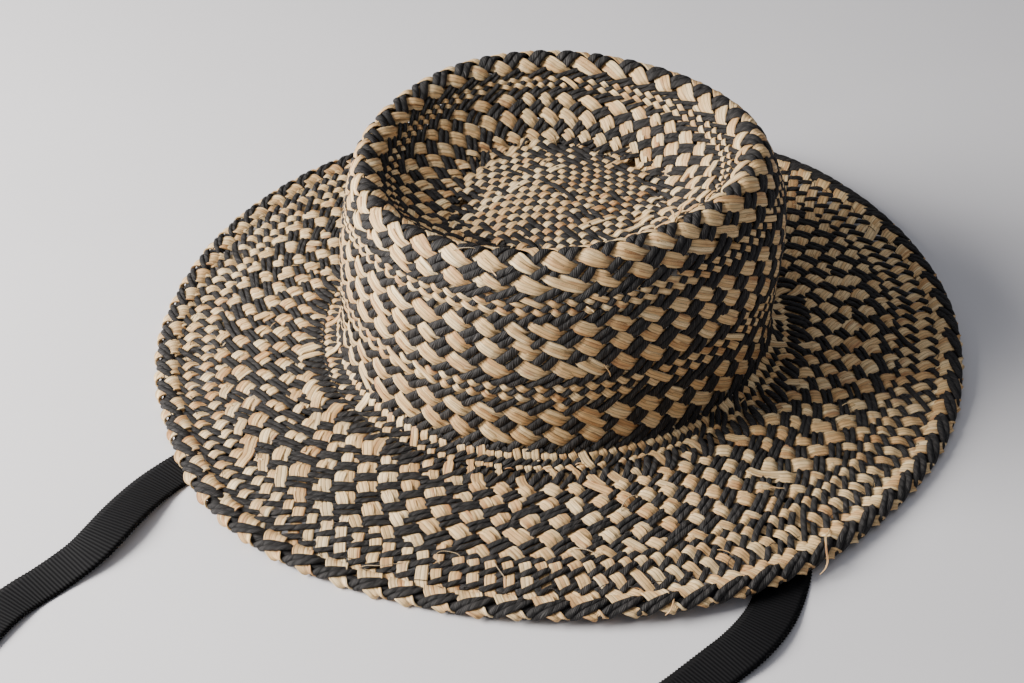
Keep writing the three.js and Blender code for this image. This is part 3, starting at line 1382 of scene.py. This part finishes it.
    def tucked_ends(self, row: float, hand: int) -> np.ndarray:
        """Finds where each strand passes under another, near a row.

        Args:
            row: the row to part the strands at.
            hand: 1 for straw and -1 for cord.

        Returns:
            The crossing for each strand, counted in half rows.
        """
        middle = int(round(2 * row))
        offsets = np.array([0, 1, -1, 2, -2, 3, -3])
        found = np.full(self.strands, middle)
        for number in range(self.strands):
            under = ~self.levels(number, middle + offsets, hand)
            found[number] = middle + (offsets[under][0] if under.any() else 0)
        return found


# Sub-assemblies

# The crown's rows of check, with the run of wall from the crest in millimetres
CROWN_RUNS = (
    (-13, -47.5), (-11, -40), (-9, -29.6), (-7, -21.4), (-5, -15.3), (-4, -12.3), (-2, -7),
    (0, 4.5), (2, 12), (4, 18.5), (5, 22.5), (7, 31), (9, 39.5), (11, 49.5), (13, 58),
    (14, 63), (16, 73), (18, 83.3), (19, 88), (20, 92.5),
)

# The brim's rows of check, with the run of wall from the foot's seam in millimetres
BRIM_RUNS = (
    (-0.5, -3.2), (0, 0.3), (1, 7.5), (2, 15.3), (4, 23), (6, 31.5),
    (8, 40), (10, 49), (12, 58.5), (13, 67.3), (14, 75.5), (14.5, 79.2),
)

# The rings of check, from the dish's floor to the foot of the wall, and from there to the edge
CROWN_RINGS = [
    Ring(-12.25, Check.FINE),
    Ring(-5.75, Check.COARSE_ODD),
    Ring(-3.25, Check.FINE),
    Ring(3.25, Check.COARSE_EVEN),
    Ring(5.75, Check.FINE),
    Ring(12.25, Check.COARSE_ODD),
    Ring(14.75, Check.FINE),
    Ring(19.25, Check.COARSE_EVEN),
]
BRIM_RINGS = [Ring(1.75, Check.FINE), Ring(11.25, Check.COARSE_ODD)]


def placed_rows(surface: HatSurface, runs: tuple[tuple[float, float], ...], start: float) -> np.ndarray:
    """Finds the place on the profile of each row of check.

    Args:
        surface: the hat's surface.
        runs: rows, each with its run of wall in millimetres.
        start: the place that the runs count from.

    Returns:
        Rows, each with its place.
    """
    places, run = surface.run_places()
    table = np.array(runs)
    from_start = table[:, 1] * MM + np.interp(start, places, run)
    return np.stack([table[:, 0], np.interp(from_start, run, places)], -1)


def declare(piece: bpy.types.Object, nodes: tuple[str, ...]) -> bpy.types.Object:
    """Ties a finished piece to the frame and reports it.

    Args:
        piece: the finished piece.
        nodes: the nodes that it stands for.

    Returns:
        The piece.
    """
    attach(piece, "root")
    if nodes:
        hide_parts(*nodes)
    corners = sum(len(face.vertices) - 2 for face in piece.data.polygons)
    LOG.info("%s: %d triangles", piece.name, corners)
    return piece


@dataclass(frozen=True)
class Crown:
    """The crown's weave, from the floor of the dish to the foot of the wall.

    Args:
        surface: the hat's surface.
        straw: the straw's material.
        cord: the cords' material.
        tip_strands: strips, and cords, round the tip and the fold.
        wall_strands: strips, and cords, round the wall, where new ones have come in.
        floor_row: the row where the ring weave begins in the dish.
        fold_row: the row where the tip is sewn to the side.
        wall_row: the row where new strands come in.
        foot_row: the row where the wall is sewn to the brim.
        floor_pitch: distance from strand to strand on the dish's floor.
        floor_reach: radius that the floor's own weave fills.
        floor_turn: turn of the floor's weave, in radians.
        floor_sink: how far the rings' inner ends sink under the floor.
        floor_slips: share of the floor's crossings that go the wrong way.
        floor_thin: thickness of the floor's weave, as a share of the wall's.
        floor_warp: how far the floor's strands bend aside.
        floor_end: how far their ends sink.
        wall_lean: how far the wall's weave leans anticlockwise for each row, in strands.
    """

    surface: HatSurface
    straw: bpy.types.Material
    cord: bpy.types.Material
    tip_strands: int = 76
    wall_strands: int = 88
    floor_row: float = -13.0
    fold_row: float = -1.5
    wall_row: float = 3.5
    foot_row: float = 19.5
    floor_pitch: float = 3.5 * MM
    floor_reach: float = 43.0 * MM
    floor_turn: float = math.radians(41)
    floor_sink: float = 1.3 * MM
    floor_slips: float = 0.05
    floor_thin: float = 0.8
    floor_warp: float = 2.3 * MM
    floor_end: float = 0.9 * MM
    wall_lean: float = 0.17

    def ring_weave(self, strands: int) -> RingWeave:
        """Sets up the crown's ring weave.

        Args:
            strands: how many strips, and how many cords, it has.

        Returns:
            The weave.
        """
        table = placed_rows(self.surface, CROWN_RUNS, self.surface.crest_place)
        lean = np.array([(-2.0, 0.0), (20.0, 22 * self.wall_lean)])
        straying = {"wander": 0.08, "slips": 0.02, "loose_until": -99, "seed": 11}
        return RingWeave(self.surface, strands, table, CROWN_RINGS, lean, **straying)

    def build(self) -> list[bpy.types.Object]:
        """Makes the crown's pieces.

        Returns:
            The finished pieces.
        """
        upper = self.ring_weave(self.tip_strands)
        lower = self.ring_weave(self.wall_strands)
        made = []
        for word, size, hand, material in (("straw", STRAW, 1, self.straw), ("cords", CORD, -1, self.cord)):
            random = np.random.default_rng(61 + hand)
            inner = int(2 * self.floor_row) + random.integers(-1, 4, self.tip_strands)
            fold = upper.tucked_ends(self.fold_row, hand)
            tip = Bundle("crown_tip_" + word, size.corners, material, size.flat)
            upper.lay_family(tip, size, hand, inner, fold, self.floor_sink)
            self.lay_floor(tip, size, hand)
            side = Bundle("crown_side_" + word, size.corners, material, size.flat)
            upper.lay_family(side, size, hand, fold, upper.tucked_ends(self.wall_row, hand))
            start = lower.tucked_ends(self.wall_row, hand)
            lower.lay_family(side, size, hand, start, lower.tucked_ends(self.foot_row, hand))
            made.append(declare(tip.build(), ("crown_tip",)))
            made.append(declare(side.build(), ("crown_side",)))
        return made

    def floor_over(self, number: int, crossings: np.ndarray, hand: int) -> np.ndarray:
        """Tells at which of the floor's crossings a strand is on top.

        Args:
            number: the strand's number.
            crossings: its crossings.
            hand: 1 for straw and -1 for cord.

        Returns:
            True where it is on top.
        """
        across = np.full(len(crossings), number)
        first, second = (crossings, across) if hand > 0 else (across, -crossings)
        straw = ((crossings + number) % 2 == 0) ^ (scatter(first, second) < self.floor_slips)
        return straw if hand > 0 else ~straw

    def lay_floor(self, bundle: Bundle, size: StrandSize, hand: int) -> None:
        """Lays one family of the floor's square weave.

        Args:
            bundle: where the strands go.
            size: their size.
            hand: 1 for straw and -1 for cord.
        """
        random = np.random.default_rng(31 + hand)
        centre = np.array(self.surface.crown_offset)[:2]
        turn = self.floor_turn + (math.pi / 2 if hand < 0 else 0.0)
        along_way = np.array([math.cos(turn), math.sin(turn)])
        side_way = np.array([-along_way[1], along_way[0]])
        most = int(self.floor_reach / self.floor_pitch)
        for number in range(-most, most + 1):
            offset = number * self.floor_pitch
            reach_here = self.floor_reach * random.uniform(0.84, 1.16)
            half = int(math.sqrt(max(reach_here**2 - offset**2, 0.0)) / self.floor_pitch)
            if half < 2:
                continue
            crossings = np.arange(-half, half + 1)
            over = self.floor_over(number, crossings, hand)
            heights = shaped_wave(np.where(over, size.over, size.under) * self.floor_thin, SAMPLES)
            reach = (crossings[0] + np.arange(len(heights)) / SAMPLES) * self.floor_pitch
            sway = 0.12 * self.floor_pitch * np.sin(reach / (9 * MM) + random.uniform(0, TURN))
            spot = centre + reach[:, None] * along_way + (offset + sway)[:, None] * side_way
            spot = spot + self.floor_warp * np.sin(spot[:, ::-1] / (13 * MM) + (0.7, 2.1))
            place, angle = self.surface.dish_place(spot)
            normal = self.surface.slopes(np.maximum(place, 0.3), angle)[2]
            ends = np.minimum(np.arange(len(heights)), np.arange(len(heights))[::-1]) / (2 * SAMPLES)
            sunk = heights - self.floor_end * np.clip(1 - ends, 0, 1) ** 2
            points = self.surface.points(place, angle) + normal * sunk[:, None]
            width = self.floor_pitch * random.uniform(0.86, 1.06) * (0.96 if hand > 0 else 0.88)
            bundle.lay(points, normal, width / 2, size.half_height * self.floor_thin, random.uniform())


@dataclass(frozen=True)
class Brim:
    """The brim's weave, from the foot of the wall to the plait.

    Args:
        surface: the hat's surface.
        straw: the straw's material.
        cord: the cords' material.
        strands: strips, and cords, round the brim.
        first_row: the row where it begins, under the foot of the wall.
        last_row: the row where it ends, inside the plait.
        lean: how far the weave leans anticlockwise for each row, in strands.
    """

    surface: HatSurface
    straw: bpy.types.Material
    cord: bpy.types.Material
    strands: int = 148
    first_row: float = -0.5
    last_row: float = 14.5
    lean: float = -0.37

    def build(self) -> list[bpy.types.Object]:
        """Makes the brim's pieces.

        Returns:
            The finished pieces.
        """
        table = placed_rows(self.surface, BRIM_RUNS, self.surface.seam_place)
        rows = np.array([self.first_row, self.last_row])
        lean = np.stack([rows, (rows - self.first_row) * self.lean], -1)
        straying = {"wander": 0.14, "slips": 0.035, "loose_until": 3, "seed": 23}
        weave = RingWeave(self.surface, self.strands, table, BRIM_RINGS, lean, **straying)
        made = []
        for word, size, hand, material in (("straw", STRAW, 1, self.straw), ("cords", CORD, -1, self.cord)):
            start = np.full(self.strands, int(2 * self.first_row))
            end = np.full(self.strands, int(2 * self.last_row))
            bundle = Bundle("brim_" + word, size.corners, material, size.flat)
            weave.lay_family(bundle, size, hand, start, end)
            made.append(declare(bundle.build(), ("brim",)))
        return made


@dataclass(frozen=True)
class BunchSize:
    """The size of a bunch in the plait.

    Args:
        strands: how many strands lie side by side.
        spacing: distance from strand to strand.
        half_width: half a strand's width.
        half_height: half its thickness.
        left_girth: its girth at the hat's left, as a share of that at the right.
        left_slant: how far it runs round the hat at the left, as a share of that at the right.
        narrowing: how much a strand narrows where the bunch is drawn together.
        samples: points along a strand.
    """

    strands: int
    spacing: float
    half_width: float
    half_height: float
    left_girth: float
    left_slant: float
    narrowing: float
    samples: int


STRAW_BUNCH = BunchSize(
    strands=3,
    spacing=2.5 * MM,
    half_width=1.6 * MM,
    half_height=0.4 * MM,
    left_girth=1.2,
    left_slant=0.9,
    narrowing=0.35,
    samples=31,
)
CORD_BUNCH = BunchSize(
    strands=2,
    spacing=2.4 * MM,
    half_width=1.5 * MM,
    half_height=1.12 * MM,
    left_girth=0.82,
    left_slant=0.7,
    narrowing=0.65,
    samples=25,
)

# A straw bunch's way, and a cord bunch's: units round, millimetres out and up, and spread
STRAW_WAY = np.array(
    [
        (0.2, -7.6, -0.2, 0.85), (0.24, -6.2, 0.9, 0.95), (0.3, -4.6, 1.65, 1.0), (0.38, -2.8, 1.7, 0.95),
        (0.46, -1.2, 1.0, 0.85), (0.54, 0.4, 0.6, 0.7), (0.63, 1.5, 0.45, 0.5), (0.73, 2.2, 0.15, 0.4),
        (0.82, 2.4, -0.45, 0.38), (0.9, 1.9, -1.1, 0.42), (0.94, 0.5, -1.6, 0.55), (1.08, -1.8, -1.7, 0.8),
        (1.2, -4.4, -0.9, 0.8),
    ]
)
CORD_WAY = np.array(
    [
        (1.2, -6.0, -1.1, 0.6), (1.11, -5.0, -0.2, 0.75), (1.01, -4.0, 0.8, 0.9), (0.88, -2.9, 1.6, 1.0),
        (0.7, -1.5, 1.9, 1.0), (0.47, -0.2, 1.9, 1.0), (0.25, 0.9, 1.5, 1.0), (0.08, 1.6, 0.6, 1.0),
        (-0.06, 1.8, -0.4, 0.9), (-0.2, 1.2, -1.2, 0.8), (-0.44, -0.4, -1.4, 0.8), (-0.7, -2.4, -1.3, 0.8),
        (-0.95, -4.4, -0.8, 0.8),
    ]
)


@dataclass(frozen=True)
class PlaitedEdge:
    """The plait round the brim: black ropes wound over bunches of straw.

    Args:
        surface: the hat's surface.
        straw: the straw's material.
        cord: the cords' material.
        units: bunches of straw round the edge.
        left_side: the way round to the hat's left, in radians.
        core: half width and half thickness of the cord that the plait is wound over.
        core_inset: how far that cord lies inside the plait's middle.
        core_rise: how high it lies over the table, at least.
        clearance: how far strands stay off the table.
    """

    surface: HatSurface
    straw: bpy.types.Material
    cord: bpy.types.Material
    units: int = 80
    left_side: float = math.radians(190)
    core: tuple[float, float] = (2.1 * MM, 1.2 * MM)
    core_inset: float = 0.9 * MM
    core_rise: float = 1.6 * MM
    clearance: float = 0.2 * MM

    def frame(self, angle: np.ndarray) -> tuple[np.ndarray, np.ndarray, np.ndarray]:
        """Finds the plait's middle.

        Args:
            angle: way round the hat.

        Returns:
            The middle, the way outwards and the way up, at each angle.
        """
        middle = self.surface.edge_points(angle, self.surface.plait / 2)
        inner = self.surface.edge_points(angle, self.surface.plait)
        step = 0.004
        round_way = unit(
            self.surface.edge_points(angle + step, self.surface.plait / 2)
            - self.surface.edge_points(angle - step, self.surface.plait / 2)
        )
        out = middle - inner
        out = unit(out - np.sum(out * round_way, -1, keepdims=True) * round_way)
        return middle, out, np.cross(out, round_way)

    def build(self) -> list[bpy.types.Object]:
        """Makes the plait's pieces.

        Returns:
            The finished pieces.
        """
        cords = Bundle("edge_cords", 7, self.cord)
        straw = Bundle("edge_straw", 6, self.straw, True)
        random = np.random.default_rng(5)
        for number in range(self.units):
            self.lay_bunch(cords, CORD_WAY, CORD_BUNCH, number, random)
            self.lay_bunch(straw, STRAW_WAY, STRAW_BUNCH, number, random)
        self.lay_core(cords)
        made = [declare(cords.build(), ("brim_edge",))]
        made.append(declare(straw.build(), ("brim_edge",)))
        return made

    def lay_core(self, bundle: Bundle) -> None:
        """Lays the cord that the plait is wound over.

        Args:
            bundle: where it goes.
        """
        middle, out, up = self.frame(np.linspace(0, TURN, 3 * self.units + 1))
        line = middle - out * self.core_inset
        line[:, 2] = np.maximum(line[:, 2], self.core_rise)
        bundle.lay(line, up, *self.core, 0.5)

    def lay_bunch(
        self, bundle: Bundle, way: np.ndarray, bunch: BunchSize, number: int, random: np.random.Generator
    ) -> None:
        """Lays one bunch, from the brim over the edge and under it.

        Args:
            bundle: where its strands go.
            way: its way over the edge.
            bunch: how many strands it has, and their size.
            number: which bunch.
            random: gives the small differences.
        """
        smooth = np.linspace(0, len(way) - 1, bunch.samples)
        way = np.stack([open_table(way[:, k], smooth) for k in range(4)], -1)
        left = (0.5 + 0.5 * math.cos(number / self.units * TURN - self.left_side)) ** 2
        girth = random.uniform(0.88, 1.08) * (1 + (bunch.left_girth - 1) * left)
        slant = 1 + (bunch.left_slant - 1) * left
        units_round = 0.3 + (way[:, 0] - 0.3) * slant + random.uniform(-0.06, 0.06)
        middle, out, up = self.frame((number + units_round) / self.units * TURN)
        line = middle + (out * way[:, 1:2] + up * way[:, 2:3]) * MM
        outward, upward = np.gradient(way[:, 1])[:, None], np.gradient(way[:, 2])[:, None]
        facing = unit(up * outward - out * upward)
        beside = unit(np.cross(facing, np.gradient(line, axis=0)))
        for strand in range(bunch.strands):
            reach = (strand - (bunch.strands - 1) / 2) * bunch.spacing * girth * random.uniform(0.92, 1.08)
            rise = random.uniform(-0.08, 0.08) * MM
            points = line + beside * (reach * way[:, 3])[:, None] + facing * rise
            half_width = bunch.half_width * girth * (1 - bunch.narrowing * (1 - way[:, 3]))
            below = bunch.half_height * np.abs(facing[:, 2]) + half_width * np.abs(beside[:, 2])
            points[:, 2] = np.maximum(points[:, 2], below + self.clearance)
            bundle.lay(points, facing, half_width, bunch.half_height, random.uniform())


@dataclass(frozen=True)
class LooseRun:
    """A run of thread, or of split straw, that shows over the weave.

    Args:
        half_width: half its width.
        stops: places on the profile, angles in degrees and millimetres over the wall's middle.
    """

    half_width: float
    stops: tuple[tuple[float, float, float], ...]


THREAD = 0.16 * MM
COARSE_THREAD = 1.6 * THREAD
PALE_THREADS = (
    LooseRun(THREAD, (
        (20.8, 252.5, 0.4), (20.777, 252.2, 1.6), (20.737, 251.5, 2.4), (20.705, 252.0, 2.2),
        (20.695, 253.2, 1.9), (20.7, 254.4, 1.6), (20.72, 255.2, 0.5),
    )),
    LooseRun(THREAD, (
        (20.94, 242.6, 0.6), (20.925, 243.4, 1.7), (20.905, 245.0, 2.1), (20.87, 246.3, 1.8),
        (20.83, 247.5, 1.0),
    )),
    LooseRun(THREAD, (
        (20.7, 259.3, 0.3), (20.72, 259.7, 1.6), (20.775, 260.6, 2.0), (20.83, 261.7, 1.5),
        (20.85, 262.1, 0.4),
    )),
    LooseRun(COARSE_THREAD, (
        (20.26, 284.6, 0.4), (20.27, 284.0, 1.7), (20.285, 282.3, 2.2), (20.34, 280.7, 1.9),
        (20.37, 280.3, 0.6),
    )),
    LooseRun(COARSE_THREAD, (
        (20.6, 271.2, 0.5), (20.614, 271.7, 1.7), (20.63, 273.2, 2.0), (20.66, 274.7, 1.2),
    )),
    LooseRun(THREAD, (
        (9.6, 240.3, 0.6), (9.5, 241.4, 2.0), (9.35, 243.2, 2.3), (9.22, 245.4, 2.1),
        (9.15, 246.6, 1.2),
    )),
)
BARE_ENDS = (
    LooseRun(0.38 * MM, (
        (20.93, 307.6, 0.4), (20.965, 306.6, 2.6), (20.99, 305.2, 3.7), (21.03, 304.2, 3.9),
        (21.07, 303.4, 3.4), (21.105, 302.9, 2.0), (21.125, 302.2, 0.2), (21.13, 301.3, -1.0),
    )),
    LooseRun(0.3 * MM, ((21.03, 282.6, 2.4), (21.08, 282.0, 2.2), (21.1, 281.5, 1.0), (21.1, 281.1, -0.4))),
    LooseRun(1.1 * MM, ((8.5, 304.6, 0.4), (8.45, 305.9, 2.0), (8.38, 308.2, 2.6), (8.3, 311.5, 2.1))),
    LooseRun(0.7 * MM, ((8.62, 305.4, 0.5), (8.52, 307.0, 2.3), (8.4, 308.8, 3.2), (8.2, 310.4, 4.4))),
    LooseRun(0.5 * MM, ((8.55, 304.9, 0.5), (8.4, 306.2, 2.6), (8.2, 307.0, 4.2), (7.95, 307.3, 5.4))),
)


@dataclass(frozen=True)
class LooseEnds:
    """The sewing thread along the plait, loose threads, and bare ends of straw.

    Args:
        surface: the hat's surface.
        straw: the straw's material.
        stitches: stitches of the sewing thread round the brim.
        missing: share of the stitches that are left out.
        seam_row: place of the stitches on the profile.
        frays: small splits of straw over the weave, one in seven of them on the crown.
        end_thickness: half the thickness of a bare end.
        fray_thickness: half the thickness of a split.
    """

    surface: HatSurface
    straw: bpy.types.Material
    stitches: int = 104
    missing: float = 0.25
    seam_row: float = 20.905
    frays: int = 44
    end_thickness: float = 0.2 * MM
    fray_thickness: float = 0.12 * MM

    def sewing(self, random: np.random.Generator) -> list[LooseRun]:
        """Places the stitches that hold the plait, with a few left out.

        Args:
            random: gives the small differences.

        Returns:
            The stitches.
        """
        runs = []
        for number in range(self.stitches):
            if random.uniform() < self.missing:
                continue
            begin = (number + random.uniform(0, 0.25)) * 360 / self.stitches
            length = random.uniform(1.3, 2.6)
            place = self.seam_row + 0.02 * math.sin(begin / 17) + random.uniform(-0.012, 0.012)
            slant = random.uniform(-0.03, 0.045)
            bow = random.uniform(-0.012, 0.012)
            near = (place + bow + 0.2 * slant, begin + 0.2 * length, 1.5)
            far = (place + bow + 0.7 * slant, begin + 0.7 * length, 1.6)
            stops = ((place, begin, -0.3), near, far, (place + slant, begin + length, 0.3))
            runs.append(LooseRun(THREAD, stops))
        return runs

    def splits(self, random: np.random.Generator) -> list[LooseRun]:
        """Strews small splits of straw over the hat.

        Args:
            random: gives their places and sizes.

        Returns:
            The splits.
        """
        runs = []
        for number in range(self.frays):
            on_brim = number % 7 > 0
            place = random.uniform(18.9, 20.9) if on_brim else random.uniform(9.5, 18.0)
            angle = random.uniform(0, 360)
            long_way = random.uniform(0.03, 0.09) * (1.0 if on_brim else 5.0)
            round_way = random.uniform(0.8, 2.4)
            lift = random.uniform(1.35, 1.9)
            half_width = random.uniform(0.12, 0.3) * MM
            near = (place + 0.3 * long_way, angle + 0.4 * round_way, 1.4)
            far = (place + 0.7 * long_way, angle + 0.8 * round_way, lift)
            last_angle = angle + random.uniform(0.8, 1.3) * round_way
            last = (place + long_way, last_angle, lift + random.uniform(-0.9, 0.7))
            runs.append(LooseRun(half_width, ((place, angle, 0.3), near, far, last)))
        return runs

    def lay_run(self, bundle: Bundle, run: LooseRun, half_height: float, seed: float) -> None:
        """Lays one run along a smooth line through its stops, thinner at its far end.

        Args:
            bundle: where it goes.
            run: the run.
            half_height: half its thickness.
            seed: a number of its own, from 0 to 1.
        """
        stops = np.array(run.stops)
        smooth = np.linspace(0, len(stops) - 1, 4 * len(stops) - 3)
        place, angle, height = (open_table(stops[:, k], smooth) for k in range(3))
        angle = np.radians(angle)
        normal = self.surface.slopes(place, angle)[2]
        points = self.surface.points(place, angle) + normal * (height * MM)[:, None]
        taper = np.clip(1.3 - np.linspace(0, 1, len(points)) ** 3, 0.3, 1.0)
        bundle.lay(points, normal, run.half_width * taper, half_height, seed)

    def build(self) -> list[bpy.types.Object]:
        """Makes the threads and the bare ends.

        Returns:
            The finished pieces.
        """
        random = np.random.default_rng(41)
        dark = Bundle("dark_thread", 5, ThreadFinish("dark_thread", linear(0.16, 0.14, 0.13)).build())
        pale = Bundle("pale_thread", 5, ThreadFinish("pale_thread", linear(0.8, 0.7, 0.55)).build())
        ends = Bundle("bare_straw_ends", 6, self.straw, True)
        for run in self.sewing(random):
            self.lay_run(dark, run, THREAD, random.uniform())
        for run in PALE_THREADS:
            self.lay_run(pale, run, run.half_width, random.uniform())
        for run in BARE_ENDS:
            self.lay_run(ends, run, self.end_thickness, random.uniform())
        for run in self.splits(random):
            self.lay_run(ends, run, self.fray_thickness, random.uniform())
        return [
            declare(dark.build(), ()),
            declare(pale.build(), ()),
            declare(ends.build(), ()),
        ]


@dataclass(frozen=True)
class Tie:
    """A ribbon tie that comes out from under the brim.

    Args:
        name: the node that it stands for.
        route: its middle line in millimetres, from the head line outwards.
        material: the ribbon's material.
        width: the ribbon's width.
        thickness: its thickness.
        rib: distance from rib to rib.
        scallop: how far the ribs swell its sides.
        selvedge: how far its sides lie inside its width between the ribs.
    """

    name: str
    route: tuple[tuple[float, float, float], ...]
    material: bpy.types.Material
    width: float = 19.0 * MM
    thickness: float = 0.8 * MM
    rib: float = 1.4 * MM
    scallop: float = 0.22 * MM
    selvedge: float = 0.25 * MM

    def build(self) -> bpy.types.Object:
        """Returns:
            The finished ribbon.
        """
        line = np.array(self.route) * MM
        length = float(np.sum(np.linalg.norm(np.diff(line, axis=0), axis=1)))
        steps = 4 * int(length / self.rib)
        knots = np.linspace(0, len(line) - 1, steps + 1)
        row = np.clip(np.floor(knots).astype(int), 0, len(line) - 2)
        padded = np.concatenate([[2 * line[0] - line[1]], line, [2 * line[-1] - line[-2]]])
        points = smooth_value(*(padded[row + k] for k in range(4)), (knots - row)[:, None])
        run = np.concatenate([[0.0], np.cumsum(np.linalg.norm(np.diff(points, axis=0), axis=1))])
        even = np.linspace(0, run[-1], steps + 1)
        points = np.stack([np.interp(even, run, points[:, k]) for k in range(3)], -1)
        scallop = self.scallop * np.cos(np.arange(steps + 1) * TURN / 4)
        up = np.tile((0.0, 0.0, 1.0), (steps + 1, 1))
        bundle = Bundle(self.name + "_ribbon", 8, self.material)
        bundle.lay(points, up, self.width / 2 - self.selvedge + scallop, self.thickness / 2, 0.0)
        piece = declare(bundle.build(), (self.name,))
        return piece


LEFT_ROUTE = (
    (-92, -44.5, 5.3), (-99.5, -48.6, 4), (-107.2, -53, 2.6), (-115, -58, 1.2), (-123.6, -63.9, 0.5),
    (-132.5, -71, 0.5), (-141.4, -79, 0.5), (-150, -87.4, 0.5), (-157.6, -95.5, 0.7),
    (-163.8, -104.3, 1.6), (-168.7, -114, 3), (-172.9, -123.5, 4), (-177.1, -132.4, 3.9),
    (-182, -140.2, 2.8), (-188.3, -146.9, 1.4), (-194.9, -153.6, 0.6), (-201.5, -160.6, 0.7),
    (-207.3, -168.8, 1.5), (-211.9, -177.6, 1.6), (-215.4, -186.8, 0.9),
)
RIGHT_ROUTE = (
    (61.9, -73, 5.5), (67.6, -79.6, 4.3), (72.9, -87.3, 2.9), (77.2, -95.9, 1.3), (80.5, -104.8, 0.5),
    (82.9, -113.9, 0.5), (84.3, -122.9, 0.5), (84.7, -132, 0.5), (84.2, -141, 0.5), (82.8, -149.5, 0.5),
    (80.3, -157.4, 0.6), (77.3, -165, 0.9), (72.9, -173.8, 1.6), (67.3, -182, 2.2), (60.9, -189, 2),
    (54.2, -194.6, 1.3), (47.3, -200.4, 0.7), (40, -206.8, 0.5), (32.4, -213.2, 0.5), (28, -217, 0.5),
)


# The table and the light


@dataclass(frozen=True)
class Studio:
    """The table, the lamps and the air round the hat.

    Args:
        reach: half the table's side.
        air: the colour of the light from all round.
        air_strength: its strength.
    """

    reach: float = 3.0
    air: tuple[float, float, float] = linear(0.95, 0.96, 1.0)
    air_strength: float = 0.27

    def build(self) -> None:
        """Makes the table, the lamps and the air."""
        mesh = bpy.data.meshes.new("table")
        corners = [(-1, -1), (1, -1), (1, 1), (-1, 1)]
        mesh.from_pydata([(x * self.reach, y * self.reach, 0.0) for x, y in corners], [], [(0, 1, 2, 3)])
        mesh.materials.append(TableFinish().build())
        table = bpy.data.objects.new("table", mesh)
        bpy.context.scene.collection.objects.link(table)
        SoftBox("window", (-1.04, -0.17, 0.59), 0.66, 48.0, linear(1.0, 0.985, 0.965)).build()
        SoftBox("ceiling", (0.25, 0.2, 2.0), 2.2, 5.0, linear(0.97, 0.98, 1.0)).build()
        world = bpy.data.worlds.new("air")
        world.use_nodes = True
        background = world.node_tree.nodes["Background"]
        background.inputs["Color"].default_value = (*self.air, 1.0)
        background.inputs["Strength"].default_value = self.air_strength
        bpy.context.scene.world = world


def main() -> None:
    """Builds the hat's looks in order."""
    logging.basicConfig(level=logging.INFO, format="%(message)s")
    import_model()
    PhotoCamera().build()
    ribbon = RibbonFinish().build()
    Tie("tie_left", LEFT_ROUTE, ribbon).build()
    Tie("tie_right", RIGHT_ROUTE, ribbon).build()
    surface = HatSurface()
    straw = StrawFinish().build()
    cord = CordFinish().build()
    Crown(surface, straw, cord).build()
    Brim(surface, straw, cord).build()
    PlaitedEdge(surface, straw, cord).build()
    LooseEnds(surface, straw).build()
    Studio().build()


if __name__ == "__main__":
    main()
